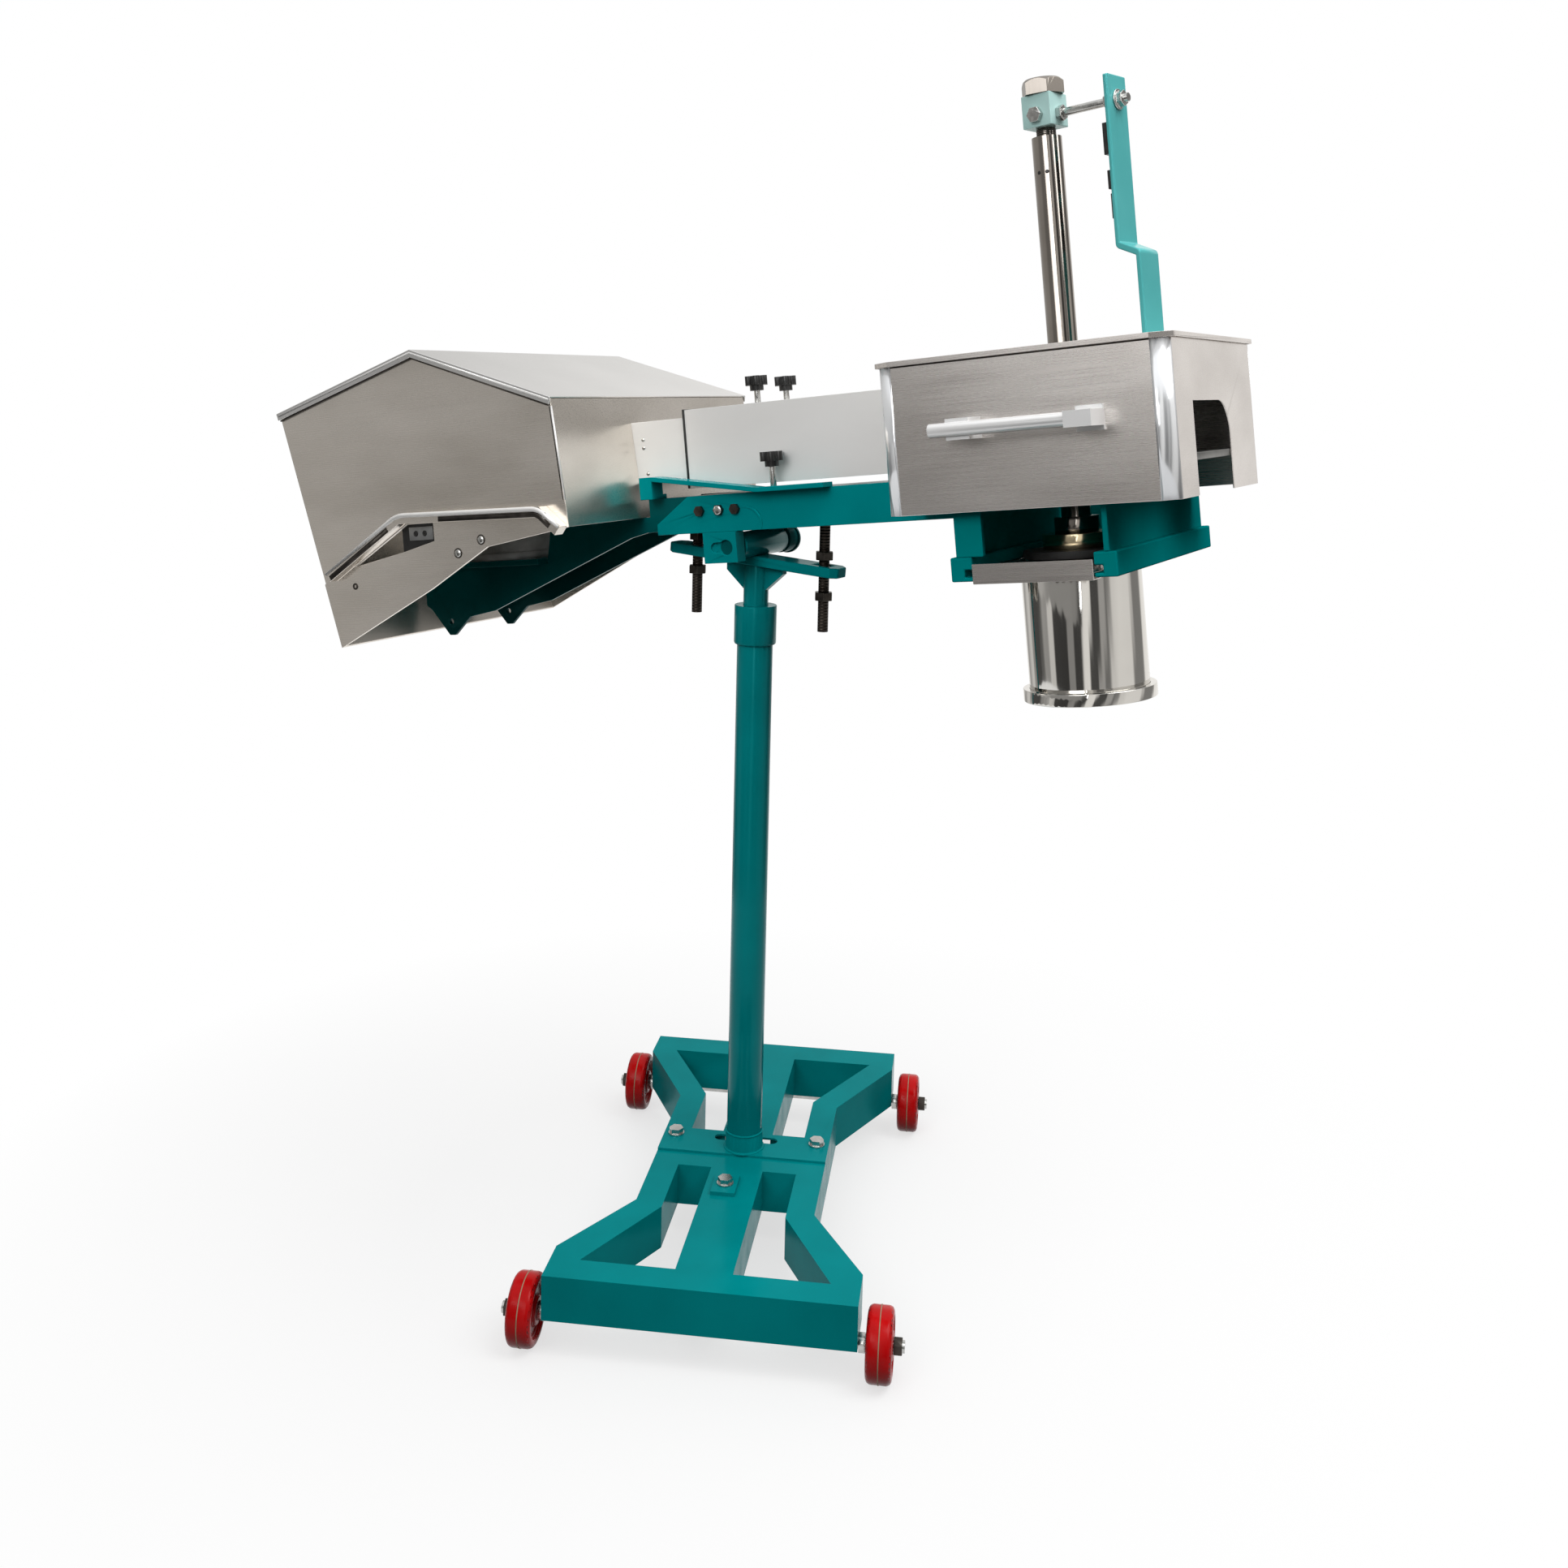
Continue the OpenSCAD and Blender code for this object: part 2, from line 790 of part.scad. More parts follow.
// Polygon moved inwards by t, outwards when t is negative; corners run anticlockwise.
function edge_in(a, b) = let (d = b - a) [-d[1], d[0]] / norm(d);
function inset(p, t) = [for (i = [0:len(p) - 1])
    let (a = p[(i + len(p) - 1) % len(p)], b = p[i], c = p[(i + 1) % len(p)])
    let (m = edge_in(a, b), n = edge_in(b, c))
    b + t * (m + n) / (1 + m * n)];
function toward(a, b) = (b - a) / norm(b - a);
function turned(p) = [for (i = [len(p) - 1:-1:0]) p[i]];
function flip(p) = [for (q = turned(p)) [-q[0], q[1]]];
// Open line moved to the right of its direction by t.
function beside(p, t) = [for (i = [0:len(p) - 1])
    let (a = max(i - 1, 0), b = min(i + 1, len(p) - 1))
    let (m = edge_in(p[a], p[a + 1]), n = edge_in(p[b - 1], p[b]))
    p[i] - t * (m + n) / (1 + m * n)];

front_outline = [
    [-base_half_w, -base_front_len],
    [base_half_w, -base_front_len],
    [base_half_w, front_end_len - base_front_len],
    [waist_half_w, -front_bend],
    [waist_half_w, seam_y],
    [-waist_half_w, seam_y],
    [-waist_half_w, -front_bend],
    [-base_half_w, front_end_len - base_front_len]];
front_window = [
    [-window_tip_w, front_beam_w - base_front_len],
    [-web_half_w, front_beam_w - base_front_len],
    [-web_half_w, -front_window_near],
    [-inner_waist, -front_window_near],
    [-inner_waist, -front_bend - window_bend_lag]];
rear_outline = [
    [-waist_half_w, seam_y],
    [waist_half_w, seam_y],
    [waist_half_w, rear_bend],
    [base_half_w, base_rear_len - rear_end_len],
    [base_half_w, base_rear_len],
    [-base_half_w, base_rear_len],
    [-base_half_w, base_rear_len - rear_end_len],
    [-waist_half_w, rear_bend]];
rear_window = [
    [-inner_waist, rear_window_near],
    [-web_half_w, rear_window_near],
    [-web_half_w, base_rear_len - rear_beam_w],
    [-window_tip_w, base_rear_len - rear_beam_w],
    [-inner_waist, rear_bend + window_bend_lag]];
housing_outline = [
    [eave_motor_x, eave_motor_z],
    [toe_x, toe_z],
    [lower_mid_x, lower_mid_z],
    [lower_knee_x, lower_knee_z],
    [wall_foot_x, cradle_top],
    [eave_head_x, eave_head_z],
    [ridge_x, ridge_z]];
housing_inner = inset(housing_outline, housing_sheet);
roof_outer = inset(housing_outline, -roof_t);
hand_hole = [
    [hole_toe_x, hole_toe_z],
    [hole_mid_x, hole_mid_z],
    [hole_end_x, hole_end_z],
    [hole_end_x, hole_top],
    [hole_top_x, hole_top]];
band_top = [
    [band_toe_x, band_toe_z],
    [band_knee_x, band_knee_z],
    [band_end_x, band_end_z],
    [wall_foot_x - housing_sheet, cradle_top + housing_sheet]];
band_line = concat(band_top, turned(beside(band_top, band_h)));
skirt_outline = [
    [toe_x, toe_z],
    [lower_mid_x, lower_mid_z],
    [lower_knee_x, lower_knee_z],
    [wall_foot_x, cradle_top],
    [wall_foot_x - housing_sheet, cradle_top + housing_sheet],
    [band_end_x, band_end_z - skirt_under],
    [band_knee_x, band_knee_z - skirt_under],
    [band_toe_x, band_toe_z - skirt_under],
    [toe_x + (eave_motor_x - toe_x) * (skirt_corner_z - toe_z) / (eave_motor_z - toe_z), skirt_corner_z]];
beam_profile = [
    [head_x0, beam_low],
    [head_x0, beam_top],
    [beam_start, beam_top],
    [beam_start - beam_toe, beam_low + beam_toe_h],
    [beam_start - beam_toe, beam_low]];
cradle_profile = [
    [cradle_end, beam_low + cradle_rise],
    [cradle_end, web_z - cradle_gap],
    [beam_start - cradle_gap, web_z - cradle_gap],
    [beam_start - cradle_gap, beam_top],
    [strip_start - strip_t, beam_top],
    [strip_start - strip_t, cradle_top],
    [cradle_step + step_half_l, cradle_top],
    [cradle_step - step_half_l, motor_deck],
    [cradle_start, motor_deck],
    [cradle_start, tab_root],
    [tab_tip_x - tab_half_w, tab_root - tab_fall_motor],
    [tab_tip_x - tab_tip_half_w, tab_tip_z],
    [tab_tip_x + tab_tip_half_w, tab_tip_z],
    [tab_tip_x + tab_half_w, tab_root - tab_fall_head],
    [belly_x, tab_root - belly_drop],
    [slope_end_x, beam_low - cradle_gap],
    [slope_end_x + slope_run, beam_low + cradle_rise]];
strip_profile = [
    [strip_start, strip_high],
    [strip_start + bracket_l, strip_high],
    [strip_land, beam_top],
    [strip_end, beam_top],
    [strip_end, beam_top + strip_t],
    [strip_land, beam_top + strip_t],
    [strip_start + bracket_l, strip_high + strip_t],
    [strip_start, strip_high + strip_t]];
guide_profile = [
    [guide_r, guide_top],
    [guide_r, joggle_z],
    [guide_r + joggle_out, joggle_z - joggle_drop],
    [guide_r + joggle_out, guide_low],
    [guide_out_r + joggle_out, guide_low],
    [guide_out_r + joggle_out, joggle_z - joggle_drop + guide_bar_t],
    [guide_out_r, joggle_z + guide_bar_t],
    [guide_out_r, guide_top]];
box_outline = [
    [box_x0 + box_cut_x, -box_half_w],
    [box_x1 - box_cut_x, -box_half_w],
    [box_x1, box_cut_y - box_half_w],
    [box_x1, box_half_w - box_cut_y],
    [box_x1 - box_cut_x, box_half_w],
    [box_x0 + box_cut_x, box_half_w],
    [box_x0, box_half_w - box_cut_y],
    [box_x0, box_cut_y - box_half_w]];

// Frame that turns with the swivel neck.
module swivel() {
    rotate([0, 0, arm_swivel])
        children();
}

// Frame that turns and tilts with the arm.
module arm() {
    translate([0, 0, pivot_z])
        rotate([0, 0, arm_swivel])
            rotate([0, -arm_tilt, 0])
                children();
}

// Frame of the torque arm, on the ram axis.
module torque() {
    arm()
        translate([ram_x, 0, 0])
            rotate([0, 0, torque_yaw])
                children();
}

// Plate drawn in X and Z, standing from y to y + t.
module side_plate(points, y, t) {
    translate([0, y + t, 0])
        rotate([90, 0, 0])
            linear_extrude(t)
                polygon(points);
}

// Box from corner to corner.
module block(a, b) {
    translate(a)
        cube(b - a);
}

// Round bar along X from x0 to x1.
module bar_x(d, x0, x1) {
    translate([x0, 0, 0])
        rotate([0, 90, 0])
            cylinder(d = d, h = x1 - x0);
}

// Round bar along Y from y0 to y1.
module bar_y(d, y0, y1) {
    translate([0, y1, 0])
        rotate([90, 0, 0])
            cylinder(d = d, h = y1 - y0);
}

// Hex prism standing on Z.
module hex(af, h) {
    cylinder(d = af / cos(30), h = h, $fn = 6);
}

// Nut with a round bore.
module nut(af, h, d) {
    difference() {
        hex(af, h);
        translate([0, 0, -cut])
            cylinder(d = d, h = h + 2 * cut);
    }
}

// Bolt with washer, head up, seat on Z zero.
module hex_bolt(d, l) {
    translate([0, 0, -l])
        cylinder(d = d, h = l + d / 2);
    cylinder(d = washer_share * d, h = d / 5);
    translate([0, 0, d / 5])
        hex(hex_share * d, head_share * d);
}

// Folded base half: top sheet, skirts and window walls, open underneath.
module pan(outline, windows, top) {
    h = top - skirt_low;
    translate([0, 0, skirt_low])
        difference() {
            linear_extrude(h)
                polygon(outline);
            for (w = windows)
                translate([0, 0, -cut])
                    linear_extrude(h + 2 * cut)
                        polygon(w);
            difference() {
                translate([0, 0, -cut])
                    linear_extrude(h - base_sheet + cut)
                        polygon(inset(outline, base_sheet));
                for (w = windows)
                    translate([0, 0, -2 * cut])
                        linear_extrude(h + 4 * cut)
                            polygon(inset(w, -base_sheet));
            }
        }
}

module axle_lugs(y, top) {
    x1 = base_half_w - base_sheet;
    for (s = [-1, 1])
        scale([s, 1, 1])
            block([x1 - lug_t, y - lug_w / 2, axle_z - lug_drop], [x1, y + lug_w / 2, top - base_sheet]);
}

module axle_bore(y) {
    translate([0, y, axle_z])
        bar_x(axle_d, -far, far);
}

module base_front() {
    color("teal")
        difference() {
            union() {
                pan(front_outline, [front_window, flip(front_window)], base_top);
                axle_lugs(front_axle_y, base_top);
                translate([-web_bolt_x - tab_w / 2, -web_bolt_y - tab_l / 2, base_top])
                    cube([tab_w, tab_l, tab_t]);
            }
            axle_bore(front_axle_y);
            translate([-web_bolt_x, -web_bolt_y, base_top])
                cylinder(d = frame_bolt_d + 2 * bolt_gap, h = far);
        }
}

module base_rear() {
    color("teal")
        difference() {
            union() {
                pan(rear_outline, [rear_window, flip(rear_window)], rear_top);
                block([-waist_half_w, -seam_lip, base_top], [waist_half_w, seam_y + cut, rear_top]);
                axle_lugs(rear_axle_y, rear_top);
                translate([0, 0, rear_top])
                    cylinder(d = post_d + 2 * socket_wall, h = socket_h);
            }
            translate([0, 0, rear_top])
                cylinder(d = post_d, h = far);
            axle_bore(rear_axle_y);
            for (s = [-1, 1])
                translate([s * seam_bolt_x, seam_bolt_y, 0])
                    cylinder(d = frame_bolt_d + 2 * bolt_gap, h = far);
            foot_slot();
        }
}

// Slot behind the post, open on both sides of the socket ring.
module foot_slot() {
    run = (foot_slot_l - foot_slot_w) / 2;
    h = base_sheet + 2 * cut;
    translate([0, 0, base_top - cut])
        difference() {
            translate([0, seam_bolt_y, 0]) {
                for (s = [-1, 1])
                    translate([s * run, 0, 0])
                        cylinder(d = foot_slot_w, h = h);
                block([-run, -foot_slot_w / 2, 0], [run, foot_slot_w / 2, h]);
            }
            translate([0, 0, -cut])
                cylinder(d = post_d + 2 * socket_wall, h = h + 2 * cut);
        }
}

module base_bolts() {
    color("silver") {
        for (s = [-1, 1])
            translate([s * seam_bolt_x, seam_bolt_y, rear_top])
                hex_bolt(frame_bolt_d, frame_bolt_l);
        translate([-web_bolt_x, -web_bolt_y, base_top + tab_t])
            hex_bolt(frame_bolt_d, tab_t);
    }
}

module post() {
    color("teal")
        difference() {
            translate([0, 0, rear_top])
                cylinder(d = post_d, h = post_top - rear_top);
            translate([0, 0, neck_low - end_gap])
                cylinder(d = post_bore, h = far);
            translate([0, 0, rear_top - cut])
                cylinder(d = post_bore, h = neck_low - end_gap - rest_t - rear_top + cut);
        }
}

module post_sleeve() {
    color("teal")
        difference() {
            translate([0, 0, sleeve_top - sleeve_l])
                cylinder(d = sleeve_d, h = sleeve_l);
            translate([0, 0, sleeve_top - sleeve_l - cut])
                cylinder(d = post_d, h = sleeve_grip + cut);
            translate([0, 0, post_top - cut])
                cylinder(d = neck_d + 2 * run_gap, h = far);
        }
}

module axles() {
    color("dimgray")
        for (y = [front_axle_y, rear_axle_y])
            translate([0, y, axle_z]) {
                bar_x(axle_d, -axle_half_l, axle_half_l);
                bar_x(spacer_d, base_half_w, base_half_w + spacer_l - end_gap);
                bar_x(spacer_d, end_gap - base_half_w - spacer_l, -base_half_w);
            }
}

module axle_nuts() {
    color("silver")
        for (y = [front_axle_y, rear_axle_y])
            for (s = [0, 180])
                translate([0, y, axle_z])
                    rotate([0, 0, s])
                        translate([wheel_x + wheel_w / 2 + end_gap, 0, 0])
                            rotate([0, 90, 0])
                                nut(axle_nut_af, axle_nut_h, axle_d);
}

module wheel(x, y) {
    r = wheel_d / 2;
    h = wheel_w / 2;
    b = axle_d / 2 + run_gap;
    hub = wheel_hub_d / 2;
    rim = wheel_rim_d / 2;
    c = wheel_chamfer;
    d = wheel_recess;
    color("red")
        translate([x, y, axle_z])
            rotate([0, 90, 0])
                rotate_extrude()
                    polygon([
                        [b, -h], [hub, -h], [hub, d - h], [rim, d - h], [rim, -h], [r - c, -h], [r, c - h],
                        [r, h - c], [r - c, h], [rim, h], [rim, h - d], [hub, h - d], [hub, h], [b, h]]);
}

module wheel_fl() {
    wheel(-wheel_x, front_axle_y);
}

module wheel_fr() {
    wheel(wheel_x, front_axle_y);
}

module wheel_rl() {
    wheel(-wheel_x, rear_axle_y);
}

module wheel_rr() {
    wheel(wheel_x, rear_axle_y);
}

// Frame of the cross bar, sloped about the pivot.
module cross() {
    swivel()
        translate([0, 0, pivot_z])
            rotate([0, cross_tilt, 0])
                children();
}

module turret_neck() {
    foot = pivot_z + bar_low - gusset_drop;
    wing = [
        [neck_d / 4, foot],
        [neck_d / 2, foot],
        [gusset_reach, pivot_z + bar_low - gusset_tip],
        [gusset_reach, pivot_z],
        [neck_d / 4, pivot_z]];
    color("teal")
        difference() {
            swivel() {
                translate([0, 0, neck_low])
                    cylinder(d = neck_d, h = pivot_z - neck_low);
                for (s = [0, 180])
                    rotate([0, 0, s])
                        side_plate(wing, -gusset_t / 2, gusset_t);
            }
            translate([0, 0, neck_low - cut])
                cylinder(d = neck_d - 2 * neck_wall, h = far);
            cross()
                block([-far, -far, bar_low], [far, far, far]);
        }
}

module cross_bar() {
    l = bar_l / 2;
    w = bar_w / 2;
    c = bar_corner;
    color("teal")
        cross()
            difference() {
                translate([0, 0, bar_low])
                    linear_extrude(bar_t)
                        polygon([[-l, c - w], [c - l, -w], [l - c, -w], [l, c - w], [l, w - c], [l - c, w],
                            [c - l, w], [-l, w - c]]);
                bar_y(tube_d, -far, far);
                for (x = [stud_motor_x, stud_head_x])
                    block([x - stud_slot_l / 2, -stud_slot_w / 2, bar_low - cut],
                        [x + stud_slot_l / 2, stud_slot_w / 2, bar_top + cut]);
            }
}

module pivot_tube() {
    color("teal")
        cross()
            difference() {
                bar_y(tube_d, -tube_half_l, tube_half_l);
                bar_y(pin_d + 2 * run_gap, -far, far);
            }
}

module bolt_ways() {
    for (x = beam_bolts_x)
        translate([x, 0, bolt_z])
            bar_y(beam_bolt_d + 2 * bolt_gap, -far, far);
}

module beam() {
    color("teal")
        arm()
            difference() {
                union() {
                    for (y = [-beam_half_w, beam_half_w - beam_t])
                        side_plate(beam_profile, y, beam_t);
                    block([beam_start, -beam_half_w, web_z], [head_x0, beam_half_w, beam_top]);
                }
                bolt_ways();
            }
}

module beam_bolts() {
    color("dimgray")
        arm()
            for (x = beam_bolts_x)
                translate([x, 0, bolt_z]) {
                    bar_y(beam_bolt_d, -beam_half_w, beam_half_w + beam_bolt_d);
                    translate([0, -beam_half_w, 0])
                        rotate([90, 0, 0])
                            hex(hex_share * beam_bolt_d, head_share * beam_bolt_d);
                    translate([0, beam_half_w, 0])
                        rotate([-90, 0, 0])
                            hex(hex_share * beam_bolt_d, nut_share * beam_bolt_d);
                }
}

module cradle_plates() {
    color("darkslategray")
        arm()
            difference() {
                for (y = [-cradle_y - cradle_t, cradle_y])
                    side_plate(cradle_profile, y, cradle_t);
                bolt_ways();
                translate([tab_tip_x, 0, tab_tip_z + tab_hole_up])
                    bar_y(tab_hole_d, -far, far);
            }
}

module motor_plate() {
    color("darkslategray")
        arm()
            block([cradle_start + motor_plate_in, -motor_plate_half_w, motor_deck],
                [cradle_step - motor_plate_in, motor_plate_half_w, motor_base]);
}

module pivot_block() {
    front = -beam_half_w - block_out;
    run = block_slot_l - block_slot_w;
    color("teal")
        arm()
            difference() {
                block([block_x - block_l / 2, front, -block_drop],
                    [block_x + block_l / 2, front + block_w, beam_low]);
                bar_y(pin_d, -far, far);
                translate([block_x - run / 2, 0, 0]) {
                    bar_y(block_slot_w, front - cut, front + block_slot_t);
                    translate([run, 0, 0])
                        bar_y(block_slot_w, front - cut, front + block_slot_t);
                    block([0, front - cut, -block_slot_w / 2], [run, front + block_slot_t, block_slot_w / 2]);
                }
            }
}

module pivot_bush() {
    back = beam_half_w + block_out;
    color("teal")
        arm()
            difference() {
                union() {
                    bar_y(bush_d, back - block_w, back);
                    bar_y(bush_flange_d, back, back + bush_flange_t);
                    block([-saddle_l / 2, back - block_w, 0], [saddle_l / 2, back, beam_low]);
                }
                bar_y(pin_d, -far, far);
            }
}

module pivot_pin() {
    color("silver")
        arm()
            bar_y(pin_d, block_slot_t - beam_half_w - block_out, beam_half_w + block_out + bush_flange_t);
}

function cross_z(x, level) = pivot_z + level / cos(cross_tilt) - x * tan(cross_tilt);

module stop_studs() {
    color("black") {
        difference() {
            swivel() {
                translate([stud_motor_x, 0, stud_motor_low])
                    cylinder(d = stud_d, h = pivot_z + 2 * web_z - stud_motor_low);
                translate([stud_head_x, 0, stud_head_low])
                    cylinder(d = stud_d, h = pivot_z + 2 * web_z - stud_head_low);
            }
            arm() {
                block([beam_start, -far, web_z], [far, far, far]);
                block([-far, -far, tie_low], [beam_start, far, far]);
            }
        }
        arm()
            block([beam_start - cut - tie_l, -cradle_y, tie_low], [beam_start - cut, cradle_y, cradle_top]);
    }
}

module stop_nut(x, z) {
    swivel()
        translate([x, 0, z])
            nut(stop_nut_af, stop_nut_h, stud_d);
}

module stop_nuts() {
    color("black") {
        stop_nut(stud_motor_x, cross_z(stud_motor_x, bar_top) + stop_gap);
        stop_nut(stud_head_x, cross_z(stud_head_x, bar_top) + stop_gap);
        stop_nut(stud_motor_x, cross_z(stud_motor_x, bar_low) - stop_low_motor - stop_nut_h);
        stop_nut(stud_head_x, cross_z(stud_head_x, bar_low) - stop_low_head - stop_nut_h);
    }
}

module tension_strip() {
    y0 = -duct_half_w - strip_gap - strip_w;
    color("teal")
        arm() {
            side_plate(strip_profile, y0, strip_w);
            block([strip_start, y0, beam_top], [strip_start + bracket_l, y0 + strip_w, strip_high]);
            block([strip_start, y0, beam_top], [strip_start + bracket_l, -cradle_y, beam_top + strip_t]);
        }
}

module duct() {
    color("lightgray")
        arm()
            difference() {
                block([duct_start, -duct_half_w, duct_low], [box_x0, duct_half_w, duct_low + duct_h]);
                block([duct_start - cut, duct_sheet - duct_half_w, duct_low + duct_sheet],
                    [box_x0 + cut, duct_half_w - duct_sheet, duct_low + duct_h - duct_sheet]);
            }
}

module sleeve_body(grow, x0, x1) {
    w = duct_half_w - duct_sheet + grow;
    block([x0, -w, sleeve_low - grow], [x1, w, sleeve_low + duct_sleeve_h + grow]);
}

module duct_sleeve() {
    x0 = eave_head_x - sleeve_out;
    x1 = duct_start + sleeve_in;
    color("lightgray")
        arm()
            difference() {
                sleeve_body(0, x0, x1);
                sleeve_body(-duct_sheet, x0 - cut, x1 + cut);
            }
}

module knob_stud(l) {
    cylinder(d = knob_stud_d, h = l + knob_stud_in);
}

module knob_studs() {
    color("silver")
        arm() {
            for (s = [-1, 1])
                translate([top_knob_x, s * top_knob_y, duct_low + duct_h])
                    knob_stud(top_stud_l);
            translate([front_knob_x, -front_knob_y, beam_top + strip_t])
                knob_stud(front_stud_l);
        }
}

module knob(x, y, z) {
    color("black")
        arm()
            translate([x, y, z])
                difference() {
                    union() {
                        cylinder(d = knob_neck_d, h = knob_neck_h);
                        translate([0, 0, knob_neck_h]) {
                            cylinder(d = knob_d, h = knob_h);
                            for (k = [0:knob_lobes - 1])
                                rotate([0, 0, k * 360 / knob_lobes])
                                    translate([knob_lobe_r, 0, 0])
                                        cylinder(d = knob_lobe_d, h = knob_h);
                        }
                    }
                    translate([0, 0, -cut])
                        cylinder(d = knob_stud_d + 2 * run_gap, h = knob_stud_in + end_gap + cut);
                }
}

module knob_top_front() {
    knob(top_knob_x, -top_knob_y, duct_low + duct_h + top_stud_l);
}

module knob_top_rear() {
    knob(top_knob_x, top_knob_y, duct_low + duct_h + top_stud_l);
}

module knob_front() {
    knob(front_knob_x, -front_knob_y, beam_top + strip_t + front_stud_l);
}

module housing_shell() {
    h = housing_half_w;
    t = housing_sheet;
    a = housing_outline;
    b = housing_inner;
    color("lightgray")
        arm()
            difference() {
                union() {
                    side_plate(housing_outline, -h, t);
                    side_plate(housing_outline, h - t, t);
                    side_plate([a[0], a[1], b[1], b[0]], -h, 2 * h);
                    side_plate([a[4], a[5], b[5], b[4]], -h, 2 * h);
                }
                side_plate(hand_hole, -h - cut, t + 2 * cut);
                sleeve_body(0, eave_head_x - duct_half_w, eave_head_x + duct_half_w);
            }
}

module housing_roof() {
    h = housing_half_w + roof_over;
    a = housing_outline;
    b = roof_outer;
    drop = [0, -roof_lip];
    color("lightgray")
        arm() {
            side_plate([b[0], a[0], a[6], a[5], b[5], b[6]], -h, 2 * h);
            for (y = [-h, h - housing_sheet])
                side_plate([b[0], a[0] + drop, a[6] + drop, a[5] + drop, b[5], b[6]], y, housing_sheet);
        }
}

module skirt() {
    y = -housing_half_w - housing_sheet;
    color("lightgray")
        arm()
            difference() {
                union() {
                    side_plate(skirt_outline, y, housing_sheet);
                    side_plate(band_line, y - band_out, band_out + housing_sheet);
                }
                side_plate(hand_hole, y - cut, housing_sheet + 2 * cut);
            }
}

module switch_box() {
    y = housing_sheet - housing_half_w;
    color("dimgray")
        arm()
            block([switch_x, y, switch_low], [switch_x + switch_l, y + switch_t, switch_low + switch_h]);
}

module motor() {
    color("slategray")
        arm()
            translate([motor_x, 0, motor_base])
                difference() {
                    union() {
                        cylinder(d = motor_flange_d, h = motor_flange_t);
                        cylinder(d = motor_d, h = motor_flange_t + motor_h);
                    }
                    translate([0, 0, motor_flange_t + motor_h - shaft_in])
                        cylinder(d = shaft_d + 2 * run_gap, h = far);
                }
}

// Flanged pulley rim with a seat of radius r, solid inside.
module pulley_rim(r) {
    translate([0, 0, pulley_low])
        difference() {
            cylinder(r = r + pulley_flange, h = pulley_h);
            translate([0, 0, (pulley_h - belt_h) / 2 - end_gap])
                difference() {
                    cylinder(r = far, h = belt_h + 2 * end_gap);
                    translate([0, 0, -cut])
                        cylinder(r = r - end_gap, h = belt_h + 2 * end_gap + 2 * cut);
                }
        }
}

module motor_pulley() {
    color("dimgray")
        arm()
            translate([motor_x, 0, 0]) {
                pulley_rim(small_r);
                translate([0, 0, motor_top - shaft_in + end_gap])
                    cylinder(d = shaft_d, h = pulley_low - motor_top + shaft_in);
            }
}

// Closed loop round both pulleys at radius r outside their seats, small pulley on the origin.
function belt_arc(x, r, from, to) = [for (i = [0:belt_steps])
    let (a = from + (to - from) * i / belt_steps)
    [x + r * cos(a), r * sin(a)]];
function belt_loop(r) = concat(
    belt_arc(belt_span, large_r + r, -90 - belt_lean, 90 + belt_lean),
    belt_arc(0, small_r + r, 90 + belt_lean, 270 - belt_lean));

module belt() {
    color("black")
        arm()
            translate([motor_x, 0, belt_z - belt_h / 2])
                linear_extrude(belt_h)
                    difference() {
                        polygon(belt_loop(belt_t));
                        polygon(belt_loop(0));
                    }
}

module head_frame() {
    top = deck_z;
    inside = box_half_w - box_sheet - end_gap;
    color("teal")
        arm() {
            for (x = [head_x0, head_x1 - head_t]) {
                block([x, -head_front, rail_top], [x + head_t, inside, top]);
                block([x, inside - cut, rail_top], [x + head_t, head_rear, box_low - cut]);
            }
            block([head_x0, -head_front, rail_top], [head_x0 + return_w, head_t - head_front, top]);
            block([head_x0, head_rear - head_t, rail_top], [head_x1, head_rear, box_low - cut]);
        }
}

// Window for the guide bar, in the torque frame at any level.
module guide_way(z0, z1) {
    w = guide_bar_w / 2 + free_gap;
    torque()
        block([guide_way_x0, -w, z0], [guide_way_x1, w, z1]);
}

module deck_plate() {
    inside = box_half_w - box_sheet - end_gap;
    color("darkslategray")
        difference() {
            arm()
                difference() {
                    block([box_x0 + box_sheet, -head_front, deck_z],
                        [box_x1 - box_sheet, inside - box_cut_y, deck_top]);
                    translate([ram_x, 0, 0])
                        cylinder(d = ram_way, h = far);
                }
            guide_way(0, far);
        }
}

module rail_frame() {
    z0 = slide_low - end_gap;
    z1 = slide_top + end_gap;
    rear = head_rear + rail_past;
    g = rail_gap_half + groove_in;
    color("teal")
        arm()
            translate([ram_x, 0, 0])
                difference() {
                    block([-rail_out, -head_front, rail_low], [rail_out, rear, rail_top]);
                    block([-rail_gap_half, -head_front - cut, rail_low - cut],
                        [rail_gap_half, rear - rail_w, rail_top + cut]);
                    block([-g, -head_front - cut, z0], [g, rear - rail_w, z1]);
                }
}

module bearing_housing() {
    color("gray")
        arm()
            translate([ram_x, 0, deck_top])
                difference() {
                    cylinder(d = bearing_d, h = bearing_h);
                    translate([0, 0, -cut])
                        cylinder(d = ram_way, h = far);
                    translate([0, 0, bearing_ledge])
                        cylinder(d = hub_d + 2 * run_gap, h = far);
                }
}

